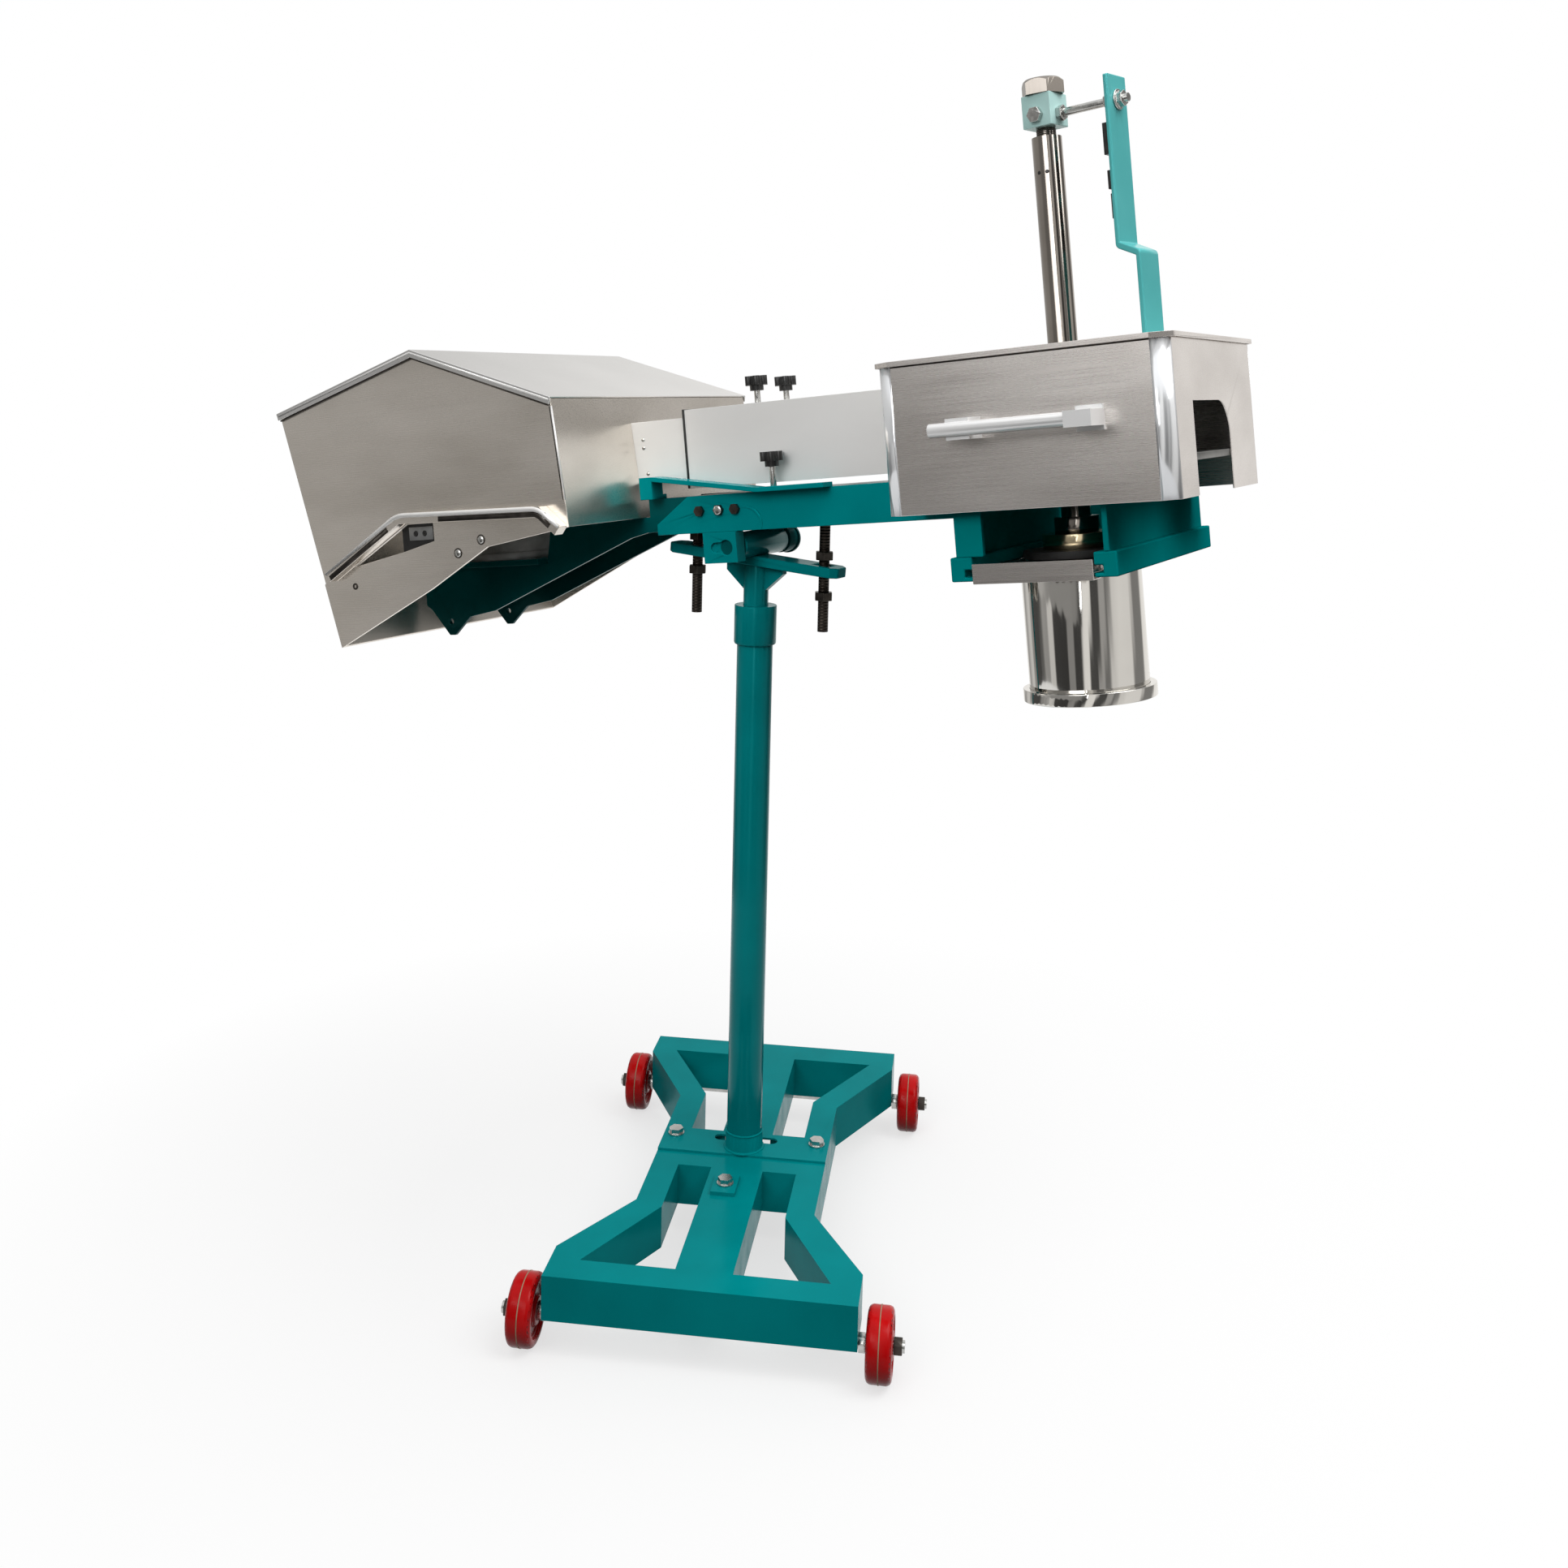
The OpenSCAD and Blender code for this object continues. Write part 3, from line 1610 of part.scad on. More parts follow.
module box_cover() {
    h = box_h;
    inner = inset(box_outline, box_sheet);
    color("lightgray")
        arm()
            difference() {
                translate([0, 0, box_low])
                    linear_extrude(h)
                        polygon(box_outline);
                translate([0, 0, box_low - cut])
                    linear_extrude(h + 2 * cut)
                        polygon(inner);
                block([box_x0 - cut, -beam_half_w - beam_gap, box_low - cut],
                    [box_x0 + 2 * box_sheet, beam_half_w + beam_gap, beam_top + beam_gap]);
                block([box_x0 - cut, duct_sheet - duct_half_w, duct_low + duct_sheet],
                    [box_x0 + 2 * box_sheet, duct_half_w - duct_sheet, duct_low + duct_h - duct_sheet]);
                translate([box_x1 - 2 * box_sheet, 0, box_low]) {
                    block([0, notch_front, -cut], [3 * box_sheet, notch_rear, notch_h - notch_r]);
                    block([0, notch_front, -cut], [3 * box_sheet, notch_rear - notch_r, notch_h]);
                    translate([0, notch_rear - notch_r, notch_h - notch_r])
                        bar_x(2 * notch_r, 0, 3 * box_sheet);
                }
            }
}

module box_lid() {
    outer = inset(box_outline, -lid_over);
    color("lightgray")
        difference() {
            arm()
                difference() {
                    translate([0, 0, box_top - lid_lip])
                        linear_extrude(lid_lip + box_sheet)
                            polygon(outer);
                    translate([0, 0, box_top - lid_lip - cut])
                        linear_extrude(lid_lip + cut)
                            polygon(inset(outer, box_sheet));
                    translate([ram_x, 0, 0])
                        cylinder(d = ram_way, h = far);
                }
            guide_way(0, far);
        }
}

module handle() {
    face = -box_half_w;
    half = handle_l / 2;
    front = -handle_out - handle_d / 2 - end_foot_t;
    color("silver")
        arm()
            translate([handle_x, face, handle_z]) {
                translate([0, -handle_out, 0])
                    bar_x(handle_d, -half, half);
                block([half - end_foot_l, front, -end_foot_h / 2], [half, 0, end_foot_h / 2]);
                block([half - end_foot_l, -flange_t, -flange_h / 2], [half, 0, flange_h / 2]);
                translate([foot_in - half, 0, -foot_h / 2])
                    block([0, -handle_out, 0], [foot_l, 0, foot_h]);
            }
}

module guide_block() {
    w = guide_bar_w / 2 + free_gap + guide_wall;
    color("white")
        difference() {
            torque()
                block([guide_way_x0 - guide_wall, -w, box_top - guide_t],
                    [guide_way_x1 + guide_wall, w, box_top]);
            guide_way(0, far);
        }
}

module drive_pulley() {
    color("dimgray")
        arm()
            translate([ram_x, 0, 0])
                difference() {
                    union() {
                        pulley_rim(large_r);
                        translate([0, 0, hub_low])
                            cylinder(d = hub_d, h = pulley_top - hub_low);
                    }
                    cylinder(d = nut_d, h = far);
                }
}

module drive_nut() {
    color("gold")
        arm()
            translate([ram_x, 0, hub_low])
                difference() {
                    cylinder(d = nut_d, h = pulley_top - hub_low);
                    translate([0, 0, -cut])
                        cylinder(d = ram_d + 2 * run_gap, h = far);
                }
}

module ram() {
    color("silver")
        arm()
            translate([ram_x, 0, 0]) {
                translate([0, 0, piston_top])
                    cylinder(d = ram_d, h = ram_top - piston_top);
                translate([0, 0, brass_top])
                    cylinder(d = ram_hub_d, h = ram_hub_h);
                translate([0, 0, ram_top - cut])
                    cylinder(d = ram_neck_d, h = collar_top + top_nut_h - ram_top + cut);
            }
}

module torque_collar() {
    color("paleturquoise")
        torque()
            difference() {
                translate([-collar_w / 2, -collar_w / 2, collar_low])
                    cube([collar_w, collar_w, collar_h]);
                cylinder(d = ram_neck_d, h = far);
                translate([0, 0, rod_z])
                    bar_x(rod_d, 0, far);
            }
}

module top_nut() {
    color("silver")
        arm()
            translate([ram_x, 0, collar_top])
                difference() {
                    nut(top_nut_af, top_nut_h, ram_neck_d);
                    translate([0, 0, top_nut_h])
                        outer_bevel(top_nut_af / cos(30), top_nut_bevel);
                }
}

// Cuts the rim of a round or a nut of diameter d back to a cone, top on Z zero.
module outer_bevel(d, b) {
    difference() {
        translate([0, 0, -b - cut])
            cylinder(d = 2 * d, h = b + 2 * cut);
        translate([0, 0, -b - 2 * cut])
            cylinder(d1 = d + 4 * cut, d2 = d - 2 * b - 4 * cut, h = b + 4 * cut);
    }
}

module torque_rod() {
    color("silver")
        torque()
            translate([0, 0, rod_z])
                bar_x(rod_d, ram_neck_d / 2 + free_gap, rod_end);
}

module rod_nut(x) {
    translate([x, 0, rod_z])
        rotate([0, 90, 0])
            nut(rod_nut_af, rod_nut_h, rod_d);
}

module rod_washer(x) {
    translate([x, 0, rod_z])
        difference() {
            bar_x(rod_washer_d, 0, rod_washer_t);
            bar_x(rod_d, -cut, rod_washer_t + cut);
        }
}

module torque_fasteners() {
    color("silver")
        torque() {
            rod_nut(collar_w / 2);
            rod_nut(guide_r - rod_washer_t - rod_nut_h);
            rod_washer(guide_r - rod_washer_t);
            rod_washer(guide_out_r);
            rod_nut(guide_out_r + rod_washer_t);
            translate([0, -collar_w / 2, rod_z])
                rotate([90, 0, 0])
                    hex(rod_nut_af, rod_nut_h);
        }
}

module guide_bar() {
    color("teal")
        torque()
            difference() {
                side_plate(guide_profile, -guide_bar_w / 2, guide_bar_w);
                translate([0, 0, rod_z])
                    bar_x(rod_d, 0, far);
                for (i = [1, 5])
                    outer_bend(guide_profile, i, bend_r, guide_bar_w / 2 + cut);
            }
}

// Takes corner i off a side plate outline, back to a bend of radius r, over the half width w.
module outer_bend(p, i, r, w) {
    c = inset(p, r)[i];
    u = toward(p[i], p[i - 1]);
    v = toward(p[i], p[i + 1]);
    a = p[i] + u * (u * (c - p[i]));
    b = p[i] + v * (v * (c - p[i]));
    difference() {
        side_plate([2 * p[i] - c, a, c, b], -w, 2 * w);
        translate([c[0], 0, c[1]])
            bar_y(2 * r, -w - cut, w + cut);
    }
}

// Cam pad on the inner face of the guide bar, its upper end a way down from the torque rod.
module pad(down, l, t) {
    w = guide_bar_w / 2 - pad_in;
    block([guide_r - t, -w, rod_z - down - l], [guide_r, w, rod_z - down]);
}

module bar_pads() {
    color("black")
        torque() {
            pad(pad_a_down, pad_a_l, pad_a_t);
            pad(pad_b_down, pad_b_l, pad_b_t);
            pad(pad_c_down, pad_c_l, pad_c_t);
        }
}

module brass_ring() {
    color("gold")
        arm()
            translate([ram_x, 0, piston_top])
                difference() {
                    cylinder(d = brass_d, h = brass_t);
                    translate([0, 0, -cut])
                        cylinder(d = ram_d, h = far);
                }
}

module piston() {
    color("black")
        arm()
            translate([ram_x, 0, piston_low])
                cylinder(d = piston_d, h = piston_t);
}

module pot() {
    color("silver")
        arm()
            translate([ram_x, 0, pot_low])
                difference() {
                    cylinder(d = pot_d, h = pot_h);
                    translate([0, 0, -cut])
                        cylinder(d = pot_bore, h = pot_h + 2 * cut);
                }
}

module pot_plate() {
    lip_half = rail_gap_half - end_gap;
    front = -head_front - lip_t;
    color("lightgray")
        arm()
            translate([ram_x, 0, 0])
                difference() {
                    union() {
                        block([-slide_half_w, tongue_in - head_front, slide_low],
                            [slide_half_w, slide_rear, slide_top]);
                        block([-lip_half, -head_front, slide_low], [lip_half, slide_rear, slide_top]);
                        block([-lip_half, front, slide_top - lip_down],
                            [lip_half, -head_front, slide_top + lip_up]);
                        block([-lip_half, front, slide_top - lip_down],
                            [lip_half, front + lip_return, slide_top - lip_down + lip_t]);
                    }
                    translate([0, 0, pot_low])
                        cylinder(d = pot_d, h = far);
                }
}

module die_cap() {
    color("silver")
        arm()
            translate([ram_x, 0, cap_low])
                difference() {
                    cylinder(d = cap_d, h = cap_h);
                    translate([0, 0, -cut])
                        cylinder(d = cap_open_d, h = far);
                    translate([0, 0, cap_floor])
                        cylinder(d = cap_bore, h = far);
                }
}

module die_plate() {
    color("gray")
        arm()
            translate([ram_x, 0, die_low])
                difference() {
                    cylinder(d = cap_bore, h = die_t);
                    for (ring = [0:die_rings])
                        for (k = [0:max(0, 6 * ring - 1)])
                            rotate([0, 0, k * 360 / max(1, 6 * ring)])
                                translate([ring * die_pitch, 0, -cut])
                                    cylinder(d = die_hole_d, h = die_t + 2 * cut);
                }
}

base_front();
base_rear();
base_bolts();
post();
post_sleeve();
axles();
axle_nuts();
wheel_fl();
wheel_fr();
wheel_rl();
wheel_rr();
turret_neck();
cross_bar();
pivot_tube();
beam();
beam_bolts();
cradle_plates();
motor_plate();
pivot_block();
pivot_bush();
pivot_pin();
stop_studs();
stop_nuts();
tension_strip();
duct();
duct_sleeve();
knob_studs();
knob_top_front();
knob_top_rear();
knob_front();
housing_shell();
housing_roof();
skirt();
switch_box();
motor();
motor_pulley();
belt();
head_frame();
deck_plate();
rail_frame();
bearing_housing();
box_cover();
box_lid();
handle();
guide_block();
drive_pulley();
drive_nut();
ram();
torque_collar();
top_nut();
torque_rod();
torque_fasteners();
guide_bar();
bar_pads();
brass_ring();
piston();
pot();
pot_plate();
die_cap();
die_plate();
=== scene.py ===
"""Looks for the sev press: materials, details, floor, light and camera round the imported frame."""
import math

import bmesh
import bpy
from mathutils import Matrix, Vector


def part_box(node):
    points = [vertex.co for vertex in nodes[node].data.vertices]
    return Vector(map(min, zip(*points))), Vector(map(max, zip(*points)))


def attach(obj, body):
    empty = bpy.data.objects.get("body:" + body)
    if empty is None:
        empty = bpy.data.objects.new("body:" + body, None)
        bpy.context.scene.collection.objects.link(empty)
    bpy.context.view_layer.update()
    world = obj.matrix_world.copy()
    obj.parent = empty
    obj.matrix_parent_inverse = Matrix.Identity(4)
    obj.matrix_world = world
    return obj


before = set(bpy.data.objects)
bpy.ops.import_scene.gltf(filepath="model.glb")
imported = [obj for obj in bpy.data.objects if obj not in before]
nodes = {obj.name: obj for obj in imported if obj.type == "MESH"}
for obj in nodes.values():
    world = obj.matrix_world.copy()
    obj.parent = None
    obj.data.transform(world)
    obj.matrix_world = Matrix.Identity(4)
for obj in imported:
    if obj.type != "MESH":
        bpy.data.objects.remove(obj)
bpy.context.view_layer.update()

# Place of the arm and of the ram on it, as in the part's source, in metres
MM = 0.001
PIVOT_Z = 942 * MM
ARM_SWIVEL = math.radians(-22.6)
ARM_TILT = math.radians(6.9)
RAM_X = 451 * MM
UPRIGHT = Matrix.Identity(4)
ARM_TURN = Matrix.Rotation(ARM_SWIVEL, 4, "Z") @ Matrix.Rotation(-ARM_TILT, 4, "Y")
ARM = Matrix.Translation((0, 0, PIVOT_Z)) @ ARM_TURN
RAM = ARM @ Matrix.Translation((RAM_X, 0, 0))

# Camera as solved from the photograph
PHOTO = 1932
FOCAL_PX = 1934.1
CENTRE_PX = (975.6, 597.6)
CAMERA_AT = (305.8 * MM, -2077.7 * MM, 1174.1 * MM)
CAMERA_YAW = math.radians(7.15)
CAMERA_PITCH = math.radians(4.18)
CAMERA_ROLL = math.radians(-1.34)
SENSOR = 36
FAR_CLIP = 40


# Material helpers

# Share of the noise's range that the colours and roughnesses are spread over
NOISE_LOW, NOISE_HIGH = 0.3, 0.7
CLOUD_LOW, CLOUD_HIGH = 0.25, 0.75
# Noise scales of the paint's blotches, haze and orange peel, its roughness and its tint
PAINT_BLOTCH, PAINT_HAZE, PAINT_PEEL = 9, 30, 260
PAINT_ROUGH = (0.14, 0.26)
PAINT_TINT = (0.25, 0.9, 0.95, 1)
PAINT_RELIEF = 0.05
# Stretch and scale of the cloudy patches on brushed metal, which are painted reflection, and how
# far its roughness strays
CLOUD_STRETCH, CLOUD_SCALE = (2, 3, 6), 2.0
BRUSH_SMOOTHER, BRUSH_ROUGHER = 0.03, 0.04
# Haze and peel of other surfaces as multiples of their noise scale, and how far roughness strays
PLAIN_HAZE, PLAIN_PEEL = 2, 12
PLAIN_SMOOTHER, PLAIN_ROUGHER = 0.06, 0.08
# Heights of the reliefs in metres
PEEL_DEPTH, BRUSH_DEPTH, THREAD_DEPTH = 0.0005, 0.0002, 0.0012
# Radians that Blender's wave texture runs through in one metre at a scale of 1
WAVE_RADIANS = 20
THREAD_BLOTCH, THREAD_METAL, THREAD_RELIEF = 70, 0.8, 0.9


def new_material(name):
    """Empty principled material with its node tree and shader."""
    mat = bpy.data.materials.new(name)
    mat.use_nodes = True
    tree = mat.node_tree
    return mat, tree, tree.nodes["Principled BSDF"]


def add(tree, kind, **inputs):
    """One node with its inputs set by name."""
    node = tree.nodes.new(kind)
    for key, value in inputs.items():
        node.inputs[key.replace("_", " ")].default_value = value
    return node


def place(tree, turn=UPRIGHT, scale=(1, 1, 1)):
    """Row frame coordinates turned back by a rotation and then stretched."""
    coords = tree.nodes.new("ShaderNodeTexCoord")
    back = tree.nodes.new("ShaderNodeMapping")
    back.inputs["Rotation"].default_value = turn.inverted().to_euler()
    stretch = tree.nodes.new("ShaderNodeMapping")
    stretch.inputs["Scale"].default_value = scale
    tree.links.new(coords.outputs["Object"], back.inputs["Vector"])
    tree.links.new(back.outputs["Vector"], stretch.inputs["Vector"])
    return stretch.outputs["Vector"]


def noise(tree, vector, scale, detail):
    """Noise factor on given coordinates."""
    node = add(tree, "ShaderNodeTexNoise", Scale=scale, Detail=detail)
    tree.links.new(vector, node.inputs["Vector"])
    return node.outputs["Fac"]


def ramp(tree, factor, low, high, first=NOISE_LOW, last=NOISE_HIGH):
    """Colour ramp between two colours."""
    node = tree.nodes.new("ShaderNodeValToRGB")
    node.color_ramp.elements[0].position = first
    node.color_ramp.elements[0].color = (*low, 1)
    node.color_ramp.elements[1].position = last
    node.color_ramp.elements[1].color = (*high, 1)
    tree.links.new(factor, node.inputs["Fac"])
    return node.outputs["Color"]


def spread(tree, factor, low, high):
    """Noise factor mapped to a range of numbers."""
    node = add(tree, "ShaderNodeMapRange", To_Min=low, To_Max=high,
               From_Min=NOISE_LOW, From_Max=NOISE_HIGH)
    tree.links.new(factor, node.inputs["Value"])
    return node.outputs["Result"]


def bump(tree, shader, height, strength, distance):
    """Bump on a shader from a height factor."""
    node = add(tree, "ShaderNodeBump", Strength=strength, Distance=distance)
    tree.links.new(height, node.inputs["Height"])
    tree.links.new(node.outputs["Normal"], shader.inputs["Normal"])


def enamel(name, dark, light, gloss=0.14, metallic=0.06):
    """Metal paint with faint blotches and orange peel."""
    mat, tree, shader = new_material(name)
    flat = place(tree)
    colour = ramp(tree, noise(tree, flat, PAINT_BLOTCH, detail=6), dark, light)
    tree.links.new(colour, shader.inputs["Base Color"])
    rough = spread(tree, noise(tree, flat, PAINT_HAZE, detail=5), *PAINT_ROUGH)
    tree.links.new(rough, shader.inputs["Roughness"])
    shader.inputs["Metallic"].default_value = metallic
    shader.inputs["Specular IOR Level"].default_value = gloss
    shader.inputs["Specular Tint"].default_value = PAINT_TINT
    bump(tree, shader, noise(tree, flat, PAINT_PEEL, detail=2), PAINT_RELIEF, PEEL_DEPTH)
    return mat


def brushed(name, dark, light, rough, grain, metallic=1.0, relief=0.012):
    """Brushed metal: fine streaks along one direction of the arm, with faint cloudy patches of
    painted reflection.
    """
    mat, tree, shader = new_material(name)
    streak = noise(tree, place(tree, ARM_TURN, grain), 1.0, detail=3)
    cloud = noise(tree, place(tree, ARM_TURN, CLOUD_STRETCH), CLOUD_SCALE, detail=4)
    colour = ramp(tree, cloud, dark, light, CLOUD_LOW, CLOUD_HIGH)
    tree.links.new(colour, shader.inputs["Base Color"])
    haze = spread(tree, streak, rough - BRUSH_SMOOTHER, rough + BRUSH_ROUGHER)
    tree.links.new(haze, shader.inputs["Roughness"])
    shader.inputs["Metallic"].default_value = metallic
    bump(tree, shader, streak, relief, BRUSH_DEPTH)
    return mat


def plain(name, dark, light, rough, metallic=0.0, scale=60, peel=0.08, gloss=0.5):
    """Cast, moulded or plated surface with small variation."""
    mat, tree, shader = new_material(name)
    flat = place(tree)
    colour = ramp(tree, noise(tree, flat, scale, detail=5), dark, light)
    tree.links.new(colour, shader.inputs["Base Color"])
    haze = noise(tree, flat, scale * PLAIN_HAZE, detail=4)
    tree.links.new(spread(tree, haze, rough - PLAIN_SMOOTHER, rough + PLAIN_ROUGHER),
                   shader.inputs["Roughness"])
    shader.inputs["Metallic"].default_value = metallic
    shader.inputs["Specular IOR Level"].default_value = gloss
    bump(tree, shader, noise(tree, flat, scale * PLAIN_PEEL, detail=3), peel, PEEL_DEPTH)
    return mat


def threaded(name, dark, light, rough, gap):
    """Blackened steel with thread ridges along Z, a gap apart."""
    mat, tree, shader = new_material(name)
    flat = place(tree)
    colour = ramp(tree, noise(tree, flat, THREAD_BLOTCH, detail=5), dark, light)
    tree.links.new(colour, shader.inputs["Base Color"])
    shader.inputs["Metallic"].default_value = THREAD_METAL
    shader.inputs["Roughness"].default_value = rough
    wave = add(tree, "ShaderNodeTexWave", Scale=2 * math.pi / WAVE_RADIANS / gap)
    wave.bands_direction = "Z"
    tree.links.new(flat, wave.inputs["Vector"])
    bump(tree, shader, wave.outputs["Fac"], THREAD_RELIEF, THREAD_DEPTH)
    return mat


# Grain of brushed metal: noise cells per metre along the arm's axes
ALONG_ARM = (7, 1500, 1500)
ALONG_RAM = (1500, 1500, 9)
ROUND_RAM = (3, 3, 900)
THREAD_GAP = 3.94785 * MM

# Paint: name, two colours, gloss, metallic
TEAL = enamel("teal_enamel", (0.0, 0.245, 0.260), (0.0, 0.300, 0.318), 0.02, 0.08)
GLOSS_TEAL = enamel("gloss_teal_enamel", (0.0, 0.235, 0.250), (0.0, 0.290, 0.308), 0.16, 0.05)
# Painted shade: the teal made a little darker for the frames in the shade under the head box, with
# no gloss or metal so they show no haze
FRAME_SHADE_TEAL = enamel("frame_shade_teal_enamel", (0.0, 0.220, 0.225), (0.0, 0.270, 0.278), 0.0, 0.0)
# Painted sheen: the guide bar's teal is lightened and greyed to stand in for its glossy reflection
SHEEN_TEAL = enamel("sheen_teal_enamel", (0.08, 0.42, 0.42), (0.11, 0.49, 0.49), 0.2)
# Painted shade: the same teal made dark for the cradle, motor plate, pivot pin and bush, which
# stand in shade
SHADED_TEAL = enamel("shaded_teal_enamel", (0.0, 0.085, 0.088), (0.0, 0.115, 0.118), 0.1)
PALE_TEAL = enamel("pale_teal_enamel", (0.44, 0.68, 0.65), (0.52, 0.76, 0.73))

# Brushed metal: name, two colours, roughness, grain, metallic, relief
# Painted reflection: the wide spread between the two colours of the stainless sheets makes dark and
# light clouds on their panels
STEEL = brushed("brushed_stainless", (0.73, 0.68, 0.615), (0.97, 0.915, 0.85), 0.28, ALONG_ARM)
ROOF_STEEL = brushed("roof_stainless", (0.77, 0.77, 0.765), (0.85, 0.85, 0.845), 0.30, ALONG_ARM)
BOX_STEEL = brushed("box_stainless", (0.54, 0.505, 0.48), (0.76, 0.725, 0.70), 0.27, ALONG_ARM)
PALE_STEEL = brushed("pale_stainless", (0.88, 0.87, 0.85), (0.94, 0.935, 0.92),
                     0.34, ALONG_ARM, 0.3)
SATIN = brushed("satin_handle", (0.88, 0.88, 0.88), (0.94, 0.94, 0.94),
                0.22, ALONG_ARM, 0.3, 0.004)
CORNER = brushed("polished_corner", (0.84, 0.86, 0.88), (0.92, 0.93, 0.95),
                 0.16, ALONG_RAM, 0.6, 0.004)
CHROME = brushed("polished_steel", (0.62, 0.605, 0.575), (0.70, 0.685, 0.655),
                 0.07, ALONG_RAM, 1.0, 0.004)
GROUND = brushed("ground_ram", (0.26, 0.235, 0.21), (0.36, 0.33, 0.30),
                 0.12, ALONG_RAM, 1.0, 0.004)
BRASS = brushed("turned_brass", (0.64, 0.53, 0.34), (0.78, 0.67, 0.46), 0.16, ROUND_RAM)

# Other surfaces: name, two colours, roughness, metallic, noise scale, peel, gloss
ZINC = plain("zinc_plate", (0.42, 0.42, 0.41), (0.60, 0.60, 0.58), 0.24, 1.0, 90)
CAST = plain("cast_iron", (0.22, 0.225, 0.225), (0.32, 0.325, 0.325), 0.5, 0.7, 60, 0.3)
RED = plain("red_wheel", (0.50, 0.002, 0.003), (0.62, 0.005, 0.006), 0.2, 0.0, 40, 0.03, 0.12)
TAN = plain("wheel_seam", (0.32, 0.20, 0.12), (0.45, 0.30, 0.19), 0.6, 0.0, 120)
BLACK = plain("black_plastic", (0.006, 0.006, 0.006), (0.014, 0.014, 0.014), 0.35, 0.0, 80)
RUBBER = plain("black_rubber", (0.008, 0.008, 0.008), (0.018, 0.018, 0.018), 0.6, 0.0, 80, 0.2)
WOVEN = plain("woven_belt", (0.15, 0.16, 0.145), (0.24, 0.25, 0.23), 0.7, 0.0, 200, 0.2)
NYLON = plain("white_nylon", (0.62, 0.61, 0.57), (0.72, 0.71, 0.67), 0.4, 0.0, 50)
BLACK_STEEL = threaded("blackened_thread", (0.018, 0.013, 0.010), (0.05, 0.04, 0.032),
                       0.42, THREAD_GAP)
OILED_NUT = plain("oiled_steel", (0.03, 0.026, 0.022), (0.075, 0.066, 0.058), 0.38, 0.85, 70, 0.1)
DULL_STEEL = plain("dull_steel", (0.16, 0.16, 0.155), (0.24, 0.24, 0.23), 0.42, 1.0, 50, 0.06)

NODE_MATERIALS = {
    TEAL: "base_front base_rear cross_bar beam pivot_block tension_strip",
    GLOSS_TEAL: "post post_sleeve turret_neck pivot_tube",
    # The frames under the head box take the teal with painted shade
    FRAME_SHADE_TEAL: "head_frame rail_frame",
    # The guide bar takes the teal with painted sheen
    SHEEN_TEAL: "guide_bar",
    # These parts take the teal with painted shade
    SHADED_TEAL: "cradle_plates motor_plate pivot_pin pivot_bush",
    PALE_TEAL: "torque_collar",
    STEEL: "housing_shell skirt",
    ROOF_STEEL: "housing_roof",
    BOX_STEEL: "box_cover box_lid pot_plate",
    PALE_STEEL: "duct duct_sleeve",
    CHROME: "pot die_cap die_plate",
    GROUND: "ram top_nut",
    SATIN: "handle",
    BRASS: "brass_ring drive_nut",
    ZINC: "base_bolts knob_studs torque_fasteners torque_rod axles",
    DULL_STEEL: "deck_plate",
    CAST: "motor motor_pulley drive_pulley bearing_housing",
    RED: "wheel_fl wheel_fr wheel_rl wheel_rr",
    BLACK: "knob_top_front knob_top_rear knob_front switch_box bar_pads",
    RUBBER: "piston",
    WOVEN: "belt",
    NYLON: "guide_block",
    BLACK_STEEL: "stop_studs",
    OILED_NUT: "stop_nuts beam_bolts axle_nuts",
}

# Edge rounding of the carried over nodes, in millimetres; the rest take the default
EDGE_NODES = {
    0.3: "die_plate",
    0.7: "duct duct_sleeve",
    0.9: "housing_shell housing_roof skirt box_cover box_lid pot_plate",
    1.2: "knob_top_front knob_top_rear knob_front",
    1.5: "head_frame",
    2: "guide_bar cross_bar rail_frame",
    2.5: "handle",
    3: "wheel_fl wheel_fr wheel_rl wheel_rr base_front base_rear torque_collar",
}
EDGE = {name: width for width, names in EDGE_NODES.items() for name in names.split()}
DEFAULT_EDGE = 0.8
EDGE_STEPS = 3
SHARP_EDGE = math.radians(40)
WELD_GAP = 0.02 * MM


def dress(node, mat):
    """Material and rounded edges for a carried over node."""
    node.data.materials.clear()
    node.data.materials.append(mat)
    weld = node.modifiers.new("weld", "WELD")
    weld.merge_threshold = WELD_GAP
    edge = node.modifiers.new("edge", "BEVEL")
    edge.width = EDGE.get(node.name, DEFAULT_EDGE) * MM
    edge.segments = EDGE_STEPS
    edge.limit_method = "ANGLE"
    edge.angle_limit = SHARP_EDGE
    edge.harden_normals = True


for mat, names in NODE_MATERIALS.items():
    for name in names.split():
        dress(nodes[name], mat)


# Helpers for the small details

# Ripple round a weld by step, and the slower swell that takes up a share of it
RIPPLE_TURN, SWELL_TURN, SWELL_SHARE = 2.4, 0.7, 0.4
# Short bead: thickness at its ends, its ripple and the ripple's turn by step, and its flatness
BEAD_END, BEAD_RIPPLE, BEAD_TURN, BEAD_FLAT = 0.25, 0.12, 2.1, 0.6
# How far the face of a corner strip bows out from the cut towards the sharp corner
BOW = 0.65


def piece(name, bm, mat, body):
    """Mesh object from bmesh in the row frame, riding on a body."""
    bmesh.ops.recalc_face_normals(bm, faces=bm.faces)
    mesh = bpy.data.meshes.new(name)
    bm.to_mesh(mesh)
    bm.free()
    mesh.materials.append(mat)
    for face in mesh.polygons:
        face.use_smooth = True
    obj = bpy.data.objects.new(name, mesh)
    bpy.context.scene.collection.objects.link(obj)
    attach(obj, body)


def join_rings(bm, a, b):
    """Faces between two closed rings of as many points."""
    count = len(a)
    for k in range(count):
        m = (k + 1) % count
        bm.faces.new((a[k], b[k], b[m], a[m]))


